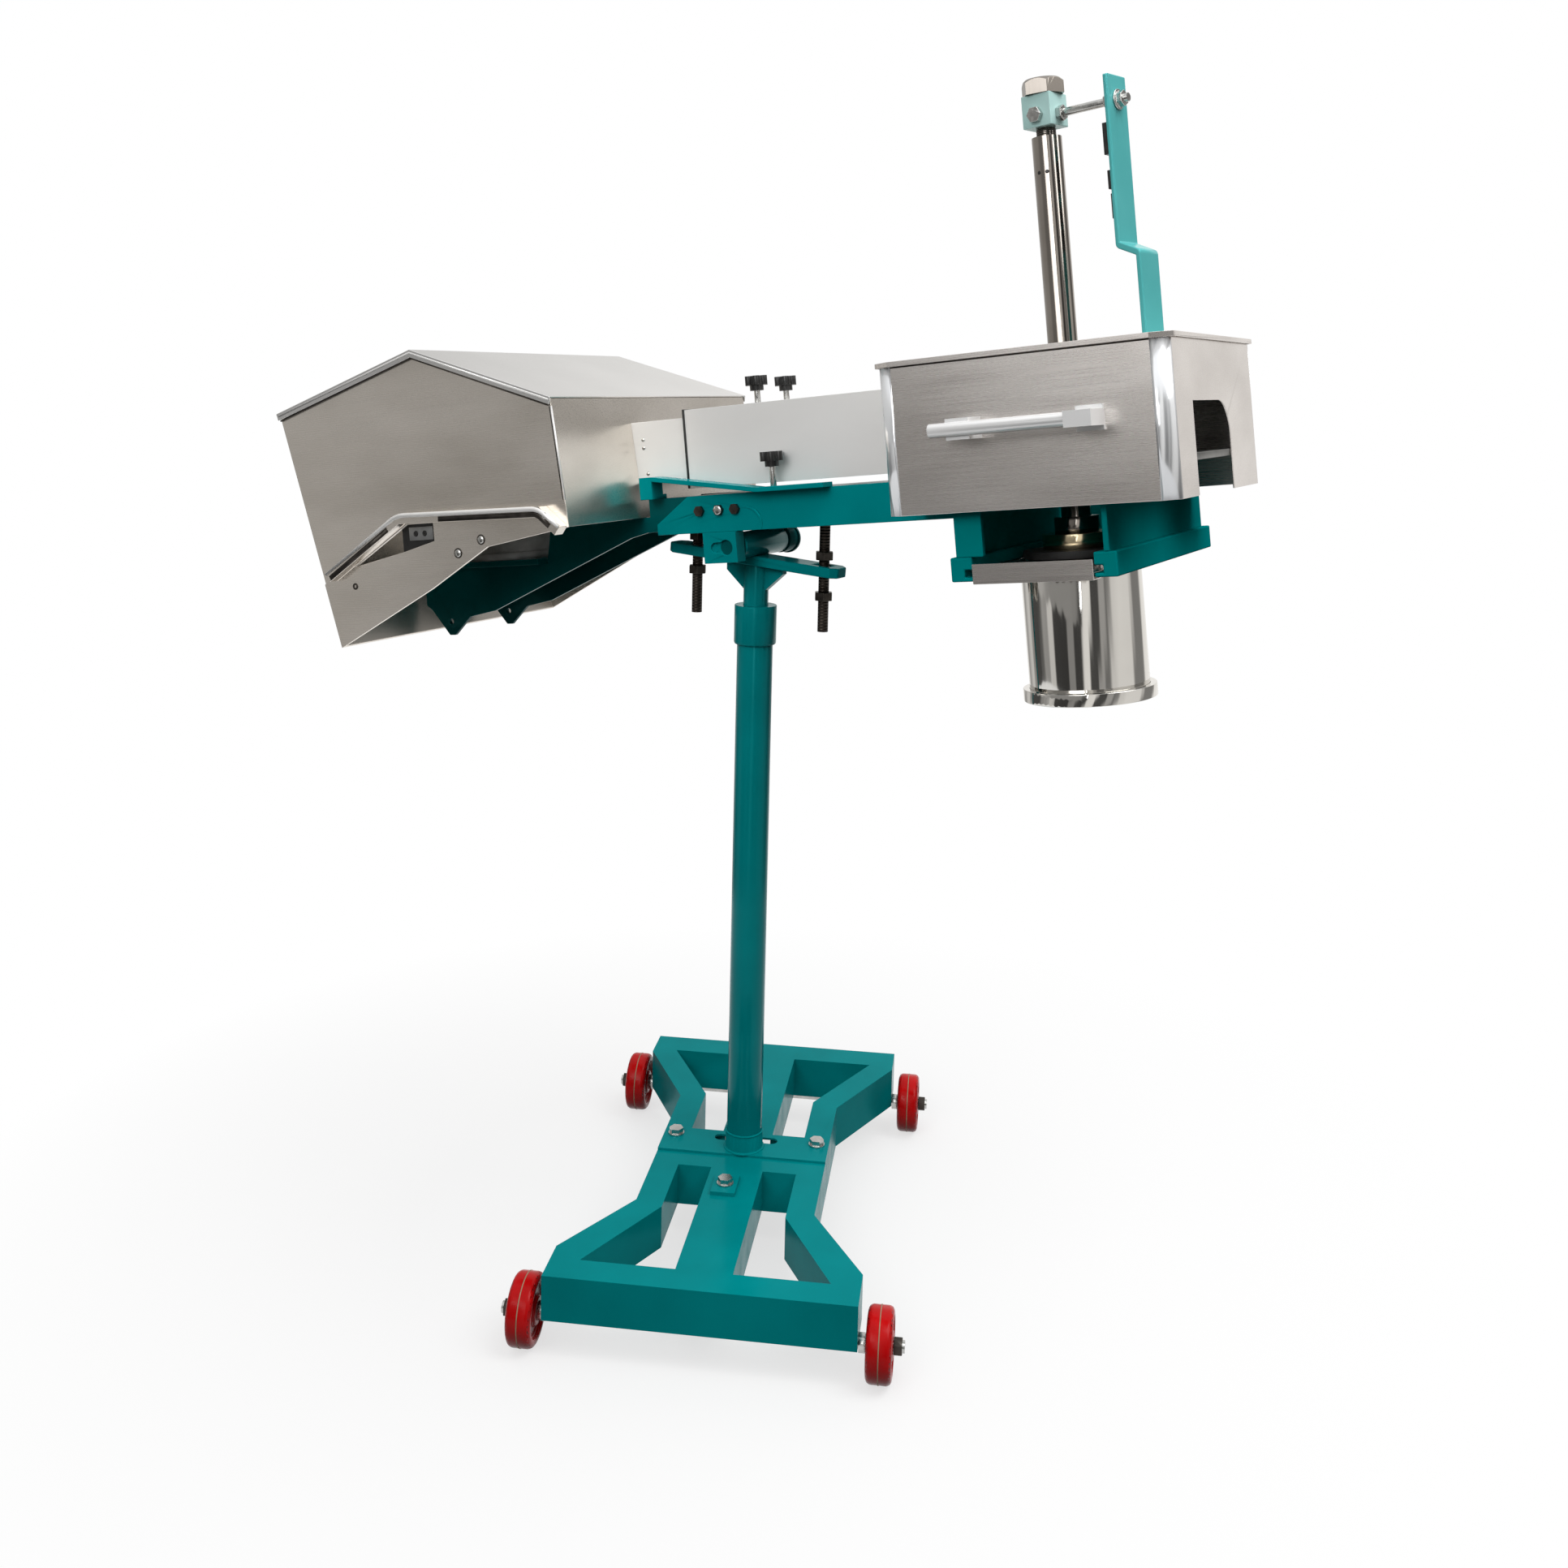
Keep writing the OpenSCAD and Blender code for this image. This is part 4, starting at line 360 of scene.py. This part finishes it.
def close_ends(bm, rings):
    """Flat caps on the first and the last of a row of rings."""
    bm.faces.new(rings[0])
    bm.faces.new(list(reversed(rings[-1])))


def lathe(bm, profile, steps, matrix):
    """Closed ring of a profile of (radius, height) points turned about Z."""
    rows = []
    for i in range(steps):
        angle = 2 * math.pi * i / steps
        rows.append([bm.verts.new(matrix @ Vector((r * math.cos(angle), r * math.sin(angle), z)))
                     for r, z in profile])
    for i in range(steps):
        join_rings(bm, rows[i], rows[(i + 1) % steps])


def dome(bm, radius, height, matrix, steps=24, rings=6):
    """Round screw or rivet head standing on Z."""
    rows = []
    for j in range(rings):
        t = math.pi / 2 * j / rings
        row = []
        for i in range(steps):
            angle = 2 * math.pi * i / steps
            row.append(bm.verts.new(matrix @ Vector((radius * math.cos(t) * math.cos(angle),
                                                     radius * math.cos(t) * math.sin(angle),
                                                     height * math.sin(t)))))
        rows.append(row)
    top = bm.verts.new(matrix @ Vector((0, 0, height)))
    bm.faces.new(list(reversed(rows[0])))
    for j in range(rings - 1):
        for i in range(steps):
            k = (i + 1) % steps
            bm.faces.new((rows[j][i], rows[j][k], rows[j + 1][k], rows[j + 1][i]))
    for i in range(steps):
        bm.faces.new((rows[-1][i], rows[-1][(i + 1) % steps], top))


def torus(bm, radius, thick, matrix, steps, sides=10, rough=0.0):
    """Round bead about Z; rough makes it wavy as a weld is."""
    profile = []
    for k in range(sides):
        angle = 2 * math.pi * k / sides
        profile.append((radius + thick * math.cos(angle), thick * math.sin(angle)))
    first = len(bm.verts)
    lathe(bm, profile, steps, matrix)
    bm.verts.ensure_lookup_table()
    axis = matrix.translation
    for i, vert in enumerate(bm.verts[first:]):
        step = i // sides
        swell = 1 - SWELL_SHARE + SWELL_SHARE * math.sin(step * SWELL_TURN)
        wave = rough * thick * math.sin(step * RIPPLE_TURN) * swell
        away = vert.co - axis
        vert.co += away.normalized() * wave


def slab(bm, low, high, edge):
    """Box on the arm from corner to corner with rounded edges, in millimetres."""
    low, high = Vector(low) * MM, Vector(high) * MM
    middle, size = (low + high) / 2, high - low
    made = bmesh.ops.create_cube(bm, size=1)["verts"]
    for vert in made:
        vert.co = ARM @ Vector([middle[i] + vert.co[i] * size[i] for i in range(3)])
    edges = {e for v in made for e in v.link_edges}
    bmesh.ops.bevel(bm, geom=list(edges), offset=edge * MM, segments=2, profile=0.5,
                    affect="EDGES")


def on_front(x, y, z):
    """Matrix of a detail that stands out to the front of an arm panel, sizes in millimetres."""
    spot = Matrix.Translation((x * MM, y * MM, z * MM))
    return ARM @ spot @ Matrix.Rotation(math.pi / 2, 4, "X")


def curve(a, corner, b, t):
    """Point of a quadratic curve from a to b that bends towards a corner."""
    return (1 - t) ** 2 * a + 2 * t * (1 - t) * corner + t ** 2 * b


def rounded(points, reach, steps=6):
    """Open path with its inner corners turned into short curves."""
    path = [Vector(points[0])]
    for before, corner, after in zip(points, points[1:], points[2:]):
        before, corner, after = Vector(before), Vector(corner), Vector(after)
        a = corner + (before - corner).normalized() * reach
        b = corner + (after - corner).normalized() * reach
        path += [curve(a, corner, b, i / steps) for i in range(steps + 1)]
    return path + [Vector(points[-1])]


def sweep(bm, path, section, ends=1.0):
    """Closed section of (aside, out) swept along a path of arm (x, z) points, in millimetres."""
    last = len(path) - 1
    rings = []
    for i, point in enumerate(path):
        along = (path[min(i + 1, last)] - path[max(i - 1, 0)]).normalized()
        aside = Vector((-along.y, along.x))
        swell = ends if i in (0, last) else 1.0
        ring = []
        for u, y in section:
            spot = point + aside * u * swell
            ring.append(bm.verts.new(ARM @ Vector((spot.x * MM, y * MM, spot.y * MM))))
        rings.append(ring)
    for a, b in zip(rings, rings[1:]):
        join_rings(bm, a, b)
    close_ends(bm, rings)


def strip(name, path, low, high, back, front, mat):
    """Thin flat strip beside a path on a front panel, in millimetres."""
    section = [(low, front), (high, front), (high, back), (low, back)]
    bm = bmesh.new()
    sweep(bm, [Vector(p) for p in path], section)
    piece(name, bm, mat, "arm")


def corner_strip(bm, a, b, corner, low, high, steps=10):
    """Upright strip from edge a to edge b of a cut corner of the head box, in millimetres."""
    a, b, corner = Vector(a), Vector(b), Vector(corner)
    bow = (a + b) / 2 * (1 - BOW) + corner * BOW
    line = [curve(a, bow, b, i / steps) for i in range(steps + 1)]
    rows = [[bm.verts.new(ARM @ Vector((p.x * MM, p.y * MM, z * MM))) for p in line]
            for z in (low, high)]
    for k in range(steps):
        bm.faces.new((rows[0][k], rows[0][k + 1], rows[1][k + 1], rows[1][k]))
    bm.faces.new((rows[0][0], rows[1][0], rows[1][-1], rows[0][-1]))
    close_ends(bm, rows)


def bead(bm, radius, thick, first, last, matrix, steps=28, sides=8):
    """Weld bead along an arc in degrees, thin at both ends and a little wavy."""
    rings = []
    for i in range(steps + 1):
        angle = math.radians(first + (last - first) * i / steps)
        taper = BEAD_END + (1 - BEAD_END) * math.sin(math.pi * i / steps)
        r = thick * taper * (1 + BEAD_RIPPLE * math.sin(i * BEAD_TURN))
        ring = []
        for k in range(sides):
            turn = 2 * math.pi * k / sides
            away = radius + r * math.cos(turn)
            ring.append(bm.verts.new(matrix @ Vector((away * math.cos(angle),
                                                      away * math.sin(angle),
                                                      BEAD_FLAT * r * math.sin(turn)))))
        rings.append(ring)
    for a, b in zip(rings, rings[1:]):
        join_rings(bm, a, b)
    close_ends(bm, rings)


# Small details; places on the arm are (x, z) on the face that is named, in millimetres

# Tan seam round each wheel tread, as (radius, across) points
WHEEL_R = 42 * MM
SEAM_FOOT_R, SEAM_TOP_R = WHEEL_R - 0.4 * MM, WHEEL_R + 0.35 * MM
SEAM_FOOT, SEAM_TOP = 0.8 * MM, 0.6 * MM
SEAM = [(SEAM_FOOT_R, -SEAM_FOOT), (SEAM_TOP_R, -SEAM_TOP),
        (SEAM_TOP_R, SEAM_TOP), (SEAM_FOOT_R, SEAM_FOOT)]
SIDEWAYS = Matrix.Rotation(math.pi / 2, 4, "Y")
for node, body in (("wheel_fl", "wheel_front_left"), ("wheel_fr", "wheel_front_right"),
                   ("wheel_rl", "wheel_rear_left"), ("wheel_rr", "wheel_rear_right")):
    low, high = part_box(node)
    centre = (Vector(low) + Vector(high)) / 2
    bm = bmesh.new()
    lathe(bm, SEAM, 96, Matrix.Translation(centre) @ SIDEWAYS)
    piece("seam_" + node, bm, TAN, body)

# Oval screws with dark rims, an eyelet and a rivet on the skirt of the motor housing
SKIRT_FACE, BAND_OUT = -234, 14
BAND_FACE = SKIRT_FACE - BAND_OUT
SCREWS_AT = ((-318, 20), (-277, 36))
SCREW_R, SCREW_H = 5.5 * MM, 2.6 * MM
RIM_R, RIM_THICK = 6.0 * MM, 0.9 * MM
EYELET_AT = (-509, -18)
EYELET_R, EYELET_THICK = 3.4 * MM, 1.3 * MM
BAND_RIVET_AT = (-158, 62)
BAND_RIVET_R, BAND_RIVET_H = 4.5 * MM, 1.8 * MM
for i, (x, z) in enumerate(SCREWS_AT):
    bm = bmesh.new()
    dome(bm, SCREW_R, SCREW_H, on_front(x, SKIRT_FACE, z))
    piece("skirt_screw_%d" % i, bm, ZINC, "arm")
    bm = bmesh.new()
    torus(bm, RIM_R, RIM_THICK, on_front(x, SKIRT_FACE, z), steps=40)
    piece("skirt_screw_rim_%d" % i, bm, OILED_NUT, "arm")
bm = bmesh.new()
torus(bm, EYELET_R, EYELET_THICK, on_front(EYELET_AT[0], SKIRT_FACE, EYELET_AT[1]), steps=32)
piece("skirt_eyelet", bm, OILED_NUT, "arm")
bm = bmesh.new()
dome(bm, BAND_RIVET_R, BAND_RIVET_H, on_front(BAND_RIVET_AT[0], BAND_FACE, BAND_RIVET_AT[1]))
piece("band_rivet", bm, ZINC, "arm")

# Rolled lip along the band of the skirt, pale as a painted highlight, and a dark strip under it in
# two runs, which is painted shade under the lip
BAND = [(-549, 3), (-410, 78), (-166, 74), (-136, 48)]
LIP_DOWN, LIP_HALF, LIP_OUT, LIP_IN = 3.0, 3.4, 3.0, 0.6
LIP_SIDES = 12
LIP_TURNS = [2 * math.pi * k / LIP_SIDES for k in range(LIP_SIDES)]
LIP = [(-LIP_DOWN + LIP_HALF * math.cos(turn), BAND_FACE + LIP_IN + LIP_OUT * math.sin(turn))
       for turn in LIP_TURNS]
LIP_BEND, LIP_ENDS = 14, 0.6
bm = bmesh.new()
sweep(bm, rounded(BAND, LIP_BEND), LIP, LIP_ENDS)
# The lip's pale steel is painted highlight
piece("band_lip", bm, PALE_STEEL, "arm")
# Dark strip of painted shade under the lip
FOLD_TOP, FOLD_FOOT, FOLD_HALF, FOLD_BEND = -6.5, -13.2, 0.5, 10
FOLD = [(FOLD_TOP, BAND_FACE - FOLD_HALF), (FOLD_FOOT, BAND_FACE - FOLD_HALF),
        (FOLD_FOOT, BAND_FACE + FOLD_HALF), (FOLD_TOP, BAND_FACE + FOLD_HALF)]
FOLD_SHADE_RUNS = ([(-546, 4.6), (-432, 66.1)], [(-335, 76.8), (-166, 74), (-145, 55.8)])
for i, run in enumerate(FOLD_SHADE_RUNS):
    bm = bmesh.new()
    sweep(bm, rounded(run, FOLD_BEND), FOLD)
    piece("band_fold_shade_%d" % i, bm, OILED_NUT, "arm")

# Pale strip of painted highlight along the roof's edge on the gable, and below it a dark strip that
# is the joint with painted shade under the roof's lip; a painted highlight and a dark joint on the
# seam beside the wall; and a dark strip of painted shade under the lid: name, path, lower and upper
# edge beside it, back and front
GABLE = [(-629, 229), (-373, 292), (-146, 209)]
WALL_SEAM = [(-145.2, 199), (-135.6, 80)]
LID_FOOT = [(305, 203), (609, 203)]
strip("roof_edge_highlight", GABLE, -3.2, -0.4, -235.8, -236.4, PALE_STEEL)
strip("roof_joint_shade", GABLE, -9.8, -8.0, -231.8, -235.0, OILED_NUT)
strip("wall_edge_highlight", WALL_SEAM, -1.6, 0.4, -230.5, -232.6, PALE_STEEL)
strip("wall_joint", WALL_SEAM, -3.6, -2.0, -231.8, -232.3, OILED_NUT)
strip("lid_shade_line", LID_FOOT, -1.8, -0.1, -175.8, -176.4, OILED_NUT)

# Polished rounded corners of the head box
BOX_LEFT, BOX_RIGHT, BOX_SIDE = 285, 629, 176
BOX_LOW, BOX_HIGH = 31.3, 202.5
CUT_X, CUT_Y = 20, 13
BOX_CORNERS = ((BOX_LEFT, 1, -1), (BOX_RIGHT, -1, -1), (BOX_RIGHT, -1, 1), (BOX_LEFT, 1, 1))
for i, (x, inward, side) in enumerate(BOX_CORNERS):
    bm = bmesh.new()
    corner_strip(bm, (x + inward * CUT_X, side * BOX_SIDE), (x, side * (BOX_SIDE - CUT_Y)),
                 (x, side * BOX_SIDE), BOX_LOW, BOX_HIGH)
    piece("box_corner_%d" % i, bm, CORNER, "arm")

# Plate with two sockets seen through the hand hole
PLATE_BACK, PLATE_THICK, PLATE_EDGE = -230, 1.5, 0.5
PLATE_FACE = PLATE_BACK - PLATE_THICK
PLATE_X, PLATE_Z = (-404, -362), (40, 58)
SOCKETS_X, SOCKETS_Z = (-392, -376), 49
SOCKET_R, SOCKET_THICK = 3.0 * MM, 1.0 * MM
PLUG_R, PLUG_H = 2.6 * MM, 0.5 * MM
bm = bmesh.new()
slab(bm, (PLATE_X[0], PLATE_FACE, PLATE_Z[0]), (PLATE_X[1], PLATE_BACK, PLATE_Z[1]), PLATE_EDGE)
piece("switch_plate", bm, CAST, "arm")
for i, x in enumerate(SOCKETS_X):
    bm = bmesh.new()
    torus(bm, SOCKET_R, SOCKET_THICK, on_front(x, PLATE_FACE, SOCKETS_Z), steps=28)
    dome(bm, PLUG_R, PLUG_H, on_front(x, PLATE_FACE, SOCKETS_Z))
    piece("switch_socket_%d" % i, bm, BLACK, "arm")

# Dark trim at the joint of the duct, on its front, back and top, and the rivets of its sleeve
TRIM_X = (-58, -54.5)
DUCT_HALF, DUCT_LOW, DUCT_HIGH = 68, 80, 184
TRIM_PROUD, TRIM_EDGE = 0.9, 0.4
TRIM_TOP = DUCT_HIGH + TRIM_PROUD
TRIM_BARS = ((-(DUCT_HALF + TRIM_PROUD), -DUCT_HALF, DUCT_LOW),
             (DUCT_HALF, DUCT_HALF + TRIM_PROUD, DUCT_LOW),
             (-DUCT_HALF, DUCT_HALF, DUCT_HIGH))
bm = bmesh.new()
for front, back, foot in TRIM_BARS:
    slab(bm, (TRIM_X[0], front, foot), (TRIM_X[1], back, TRIM_TOP), TRIM_EDGE)
piece("duct_trim", bm, RUBBER, "arm")
SLEEVE_FACE = -66
SLEEVE_RIVETS_AT = ((-126, 150), (-126, 139), (-122, 104))
SLEEVE_RIVET_R, SLEEVE_RIVET_H = 2.8 * MM, 1.2 * MM
for i, (x, z) in enumerate(SLEEVE_RIVETS_AT):
    bm = bmesh.new()
    dome(bm, SLEEVE_RIVET_R, SLEEVE_RIVET_H, on_front(x, SLEEVE_FACE, z))
    piece("sleeve_rivet_%d" % i, bm, ZINC, "arm")

# Weld beads round the post: name, radius, height and thickness in millimetres
WELDS = (("foot", 25.65, 103, 2.4), ("socket", 24.9, 127, 1.5), ("sleeve", 26.2, 807, 1.9))
WELD_ROUGH = 0.18
for name, radius, z, thick in WELDS:
    bm = bmesh.new()
    level = Matrix.Translation((0, 0, z * MM))
    torus(bm, radius * MM, thick * MM, level, steps=96, rough=WELD_ROUGH)
    piece("weld_" + name, bm, TEAL, "base")

# Bright face of the middle beam bolt
BOLT_FACE_AT = (-8, -79.85, 49.5)
BOLT_FACE_R, BOLT_FACE_H = 6.2 * MM, 1.5 * MM
bm = bmesh.new()
dome(bm, BOLT_FACE_R, BOLT_FACE_H, on_front(*BOLT_FACE_AT))
piece("beam_bolt_face", bm, ZINC, "arm")

# Crescent of weld on the front of the beam
CRESCENT_AT = (31, -75, 27)
CRESCENT_R, CRESCENT_THICK = 24 * MM, 2.6 * MM
CRESCENT_FIRST, CRESCENT_LAST = -12, 100
bm = bmesh.new()
bead(bm, CRESCENT_R, CRESCENT_THICK, CRESCENT_FIRST, CRESCENT_LAST, on_front(*CRESCENT_AT))
piece("weld_beam", bm, TEAL, "arm")

# Thread on the ram's neck and two marks on the ram
NECK_R, NECK_LOW, NECK_PITCH = 11 * MM, 466 * MM, 2 * MM
NECK_TURNS, NECK_START = 5, 0.6
RIDGE_OUT, RIDGE_THICK = 0.1 * MM, 0.8 * MM
bm = bmesh.new()
for k in range(NECK_TURNS):
    ridge = Matrix.Translation((0, 0, NECK_LOW + (k + NECK_START) * NECK_PITCH))
    torus(bm, NECK_R + RIDGE_OUT, RIDGE_THICK, RAM @ ridge, steps=48, sides=8)
piece("neck_thread", bm, OILED_NUT, "ram_group")
MARK_BEARINGS = (-112, -78)
MARK_OUT, MARK_Z = 17.9 * MM, 423 * MM
MARK_R, MARK_H = 2.4 * MM, 0.4 * MM
for i, bearing in enumerate(MARK_BEARINGS):
    aim = RAM @ Matrix.Rotation(math.radians(bearing), 4, "Z")
    face = aim @ Matrix.Translation((MARK_OUT, 0, MARK_Z))
    bm = bmesh.new()
    dome(bm, MARK_R, MARK_H, face @ SIDEWAYS)
    piece("ram_mark_%d" % i, bm, BLACK, "ram_group")


# Floor, light and camera

# Floor disc: its radius and sides, and how far out it runs into plain white, in metres
FLOOR_REACH, FLOOR_STEPS = 1.3, 96
FADE_FROM, FADE_TO = 0.45, 1.15
FADE_NEAR = 0.68  # share of plain white close to the object
# Floor's colour as it is seen, and as it lights the object from below
FLOOR_SEEN = (0.95, 0.95, 0.95, 1)
FLOOR_DIM = (0.05, 0.05, 0.05, 1)

# Lamps: name, place, target, width and height, spread in degrees, power in watts
LAMPS = (("key", (1.6, -0.8, 3.1), (0.1, 0, 0.8), (2.0, 2.0), 180, 52),
         ("fill", (-0.7, -1.9, 2.0), (0.1, 0, 1.15), (1.2, 1.2), 70, 3.8),
         ("strip", (-0.1, -2.7, 1.5), (0.1, 0, 0.8), (0.1, 1.3), 180, 3))

# Room that metal reflects: grey level by compass bearing in degrees from +X, white to the rear
# and dim to the front, once for what stands above the horizon and once for what lies below it
ROOM_RIGHT = ((-98, 0.95), (-87, 0.97), (-83, 0.08), (-70, 0.08), (-66, 0.42), (-59, 0.42),
              (-54, 0.18), (-49, 0.3), (-42, 0.75), (-28, 0.88), (0, 0.85), (10, 0.25),
              (36, 0.25), (45, 1.0), (90, 1.0))
ROOM_HIGH = ((-180, 0.5), (-165, 0.32), (-122, 0.31), (-112, 0.28), (-105, 0.07), (-101, 0.07),
             *ROOM_RIGHT, (110, 0.55), (180, 0.5))
ROOM_LOW = ((-180, 0.4), (-173, 0.35), (-167, 0.7), (-160, 0.7), (-156, 0.06), (-130, 0.05),
            (-126, 0.3), (-118, 0.3), (-114, 0.06), (-103, 0.06), *ROOM_RIGHT, (104, 0.9),
            (116, 0.35), (128, 0.7), (138, 0.7), (147, 0.08), (168, 0.08), (180, 0.4))
WARM = (1.0, 0.98, 0.95)
WHITE = (1, 1, 1, 1)
# Upward part of a ray's direction where the room's two levels meet, and where it turns to white
HORIZON = (-0.125, -0.1)
CEILING = (0.5, 0.75)
# Soft light on all that isn't a mirror: dark from the sides and below, white overhead
SOFT_LOW, SOFT_HIGH = (0.04, 0.04, 0.04), (1.0, 1.0, 1.0)
SOFT_FROM, SOFT_TO = 0.28, 0.95
# Sockets of a Mix node that are for colours
MIX_FIRST, MIX_SECOND, MIX_RESULT = 6, 7, 2


def math_node(tree, operation, a, b):
    """Math node on two linked values."""
    node = tree.nodes.new("ShaderNodeMath")
    node.operation = operation
    tree.links.new(a, node.inputs[0])
    tree.links.new(b, node.inputs[1])
    return node.outputs[0]


def colour_mix(tree, factor, first, second):
    """Mix of two linked colours."""
    node = tree.nodes.new("ShaderNodeMix")
    node.data_type = "RGBA"
    tree.links.new(factor, node.inputs[0])
    tree.links.new(first, node.inputs[MIX_FIRST])
    tree.links.new(second, node.inputs[MIX_SECOND])
    return node.outputs[MIX_RESULT]


def shader_mix(tree, factor, first, second):
    """Mix of two shaders by a linked factor."""
    node = tree.nodes.new("ShaderNodeMixShader")
    tree.links.new(factor, node.inputs[0])
    tree.links.new(first, node.inputs[1])
    tree.links.new(second, node.inputs[2])
    return node.outputs[0]


def direct_view(tree):
    """Two factors: rays from the eye, and rays that metal and glass pass on."""
    path = tree.nodes.new("ShaderNodeLightPath")
    mirror = math_node(tree, "MAXIMUM", path.outputs["Is Glossy Ray"],
                       path.outputs["Is Transmission Ray"])
    return path.outputs["Is Camera Ray"], mirror


def floor_material():
    """White floor that keeps a soft shadow near the object and runs out into white."""
    mat = bpy.data.materials.new("floor_white")
    mat.use_nodes = True
    tree = mat.node_tree
    tree.nodes.remove(tree.nodes["Principled BSDF"])
    coords = tree.nodes.new("ShaderNodeTexCoord")
    away = tree.nodes.new("ShaderNodeVectorMath")
    away.operation = "LENGTH"
    tree.links.new(coords.outputs["Object"], away.inputs[0])
    fade = add(tree, "ShaderNodeMapRange", From_Min=FADE_FROM, From_Max=FADE_TO,
               To_Min=FADE_NEAR, To_Max=1.0)
    tree.links.new(away.outputs["Value"], fade.inputs["Value"])
    lit = add(tree, "ShaderNodeBsdfDiffuse", Color=FLOOR_SEEN)
    white = add(tree, "ShaderNodeEmission", Color=WHITE, Strength=1.0)
    dim = add(tree, "ShaderNodeBsdfDiffuse", Color=FLOOR_DIM)
    seen = shader_mix(tree, fade.outputs["Result"], lit.outputs[0], white.outputs[0])
    direct = math_node(tree, "MAXIMUM", *direct_view(tree))
    pick = shader_mix(tree, direct, dim.outputs[0], seen)
    tree.links.new(pick, tree.nodes["Material Output"].inputs["Surface"])
    return mat


def compass(tree, turn, levels):
    """Ramp of grey levels by bearing."""
    node = tree.nodes.new("ShaderNodeValToRGB")
    tree.links.new(turn, node.inputs["Fac"])
    stops = node.color_ramp.elements
    stops[0].position, stops[1].position = 0, 1
    for degrees, level in levels[1:-1]:
        stops.new((degrees + 180) / 360).color = (*(level * part for part in WARM), 1)
    stops[0].color = (*(levels[0][1] * part for part in WARM), 1)
    stops[len(stops) - 1].color = (*(levels[-1][1] * part for part in WARM), 1)
    return node.outputs["Color"]


def between(tree, value, low, high):
    """Factor that runs from zero at a low value to one at a high one."""
    node = add(tree, "ShaderNodeMapRange", From_Min=low, From_Max=high)
    tree.links.new(value, node.inputs["Value"])
    return node.outputs["Result"]


def studio_world():
    """White background, the room that metal reflects, and plain soft light for all else."""
    world = bpy.data.worlds.new("studio")
    bpy.context.scene.world = world
    world.use_nodes = True
    tree = world.node_tree
    coords = tree.nodes.new("ShaderNodeTexCoord")
    split = tree.nodes.new("ShaderNodeSeparateXYZ")
    tree.links.new(coords.outputs["Generated"], split.inputs["Vector"])
    up = split.outputs["Z"]
    bearing = math_node(tree, "ARCTAN2", split.outputs["Y"], split.outputs["X"])
    turn = between(tree, bearing, -math.pi, math.pi)
    level = between(tree, up, *HORIZON)
    room = colour_mix(tree, level, compass(tree, turn, ROOM_LOW), compass(tree, turn, ROOM_HIGH))
    rise = between(tree, up, *CEILING)
    white = tree.nodes.new("ShaderNodeRGB")
    white.outputs[0].default_value = WHITE
    mirrored = colour_mix(tree, rise, room, white.outputs[0])
    soft = ramp(tree, up, SOFT_LOW, SOFT_HIGH, SOFT_FROM, SOFT_TO)
    eye, mirror = direct_view(tree)
    shown = colour_mix(tree, mirror, soft, mirrored)
    shown = colour_mix(tree, eye, shown, white.outputs[0])
    tree.links.new(shown, tree.nodes["Background"].inputs["Color"])
    tree.nodes["Background"].inputs["Strength"].default_value = 1.0


def studio():
    """Pale floor, white background and soft light."""
    bm = bmesh.new()
    bmesh.ops.create_circle(bm, cap_ends=True, segments=FLOOR_STEPS, radius=FLOOR_REACH)
    mesh = bpy.data.meshes.new("floor")
    bm.to_mesh(mesh)
    bm.free()
    floor = bpy.data.objects.new("floor", mesh)
    bpy.context.scene.collection.objects.link(floor)
    floor.data.materials.append(floor_material())
    studio_world()
    for name, at, aim, size, spread_deg, power in LAMPS:
        lamp = bpy.data.lights.new(name, "AREA")
        lamp.shape = "RECTANGLE"
        lamp.size, lamp.size_y = size
        lamp.spread = math.radians(spread_deg)
        lamp.energy = power
        obj = bpy.data.objects.new(name, lamp)
        obj.location = at
        obj.rotation_euler = (Vector(aim) - Vector(at)).to_track_quat("-Z", "Y").to_euler()
        bpy.context.scene.collection.objects.link(obj)


def photo_camera():
    """Camera at the photograph's place, with its lens and framing."""
    cam = bpy.data.cameras.new("photo_camera")
    cam.sensor_width = SENSOR
    cam.lens = SENSOR * FOCAL_PX / PHOTO
    cam.shift_x = (PHOTO / 2 - CENTRE_PX[0]) / PHOTO
    cam.shift_y = (CENTRE_PX[1] - PHOTO / 2) / PHOTO
    cam.clip_end = FAR_CLIP
    ahead = Vector((-math.sin(CAMERA_YAW) * math.cos(CAMERA_PITCH),
                    math.cos(CAMERA_YAW) * math.cos(CAMERA_PITCH),
                    -math.sin(CAMERA_PITCH)))
    right = Vector((math.cos(CAMERA_YAW), math.sin(CAMERA_YAW), 0))
    down = ahead.cross(right)
    turn_c, turn_s = math.cos(CAMERA_ROLL), math.sin(CAMERA_ROLL)
    right, down = turn_c * right + turn_s * down, turn_c * down - turn_s * right
    axes = Matrix((right, -down, -ahead)).transposed().to_4x4()
    obj = bpy.data.objects.new("photo_camera", cam)
    obj.matrix_world = Matrix.Translation(CAMERA_AT) @ axes
    bpy.context.scene.collection.objects.link(obj)
    bpy.context.scene.camera = obj


studio()
photo_camera()
bpy.context.scene.view_settings.view_transform = "Standard"
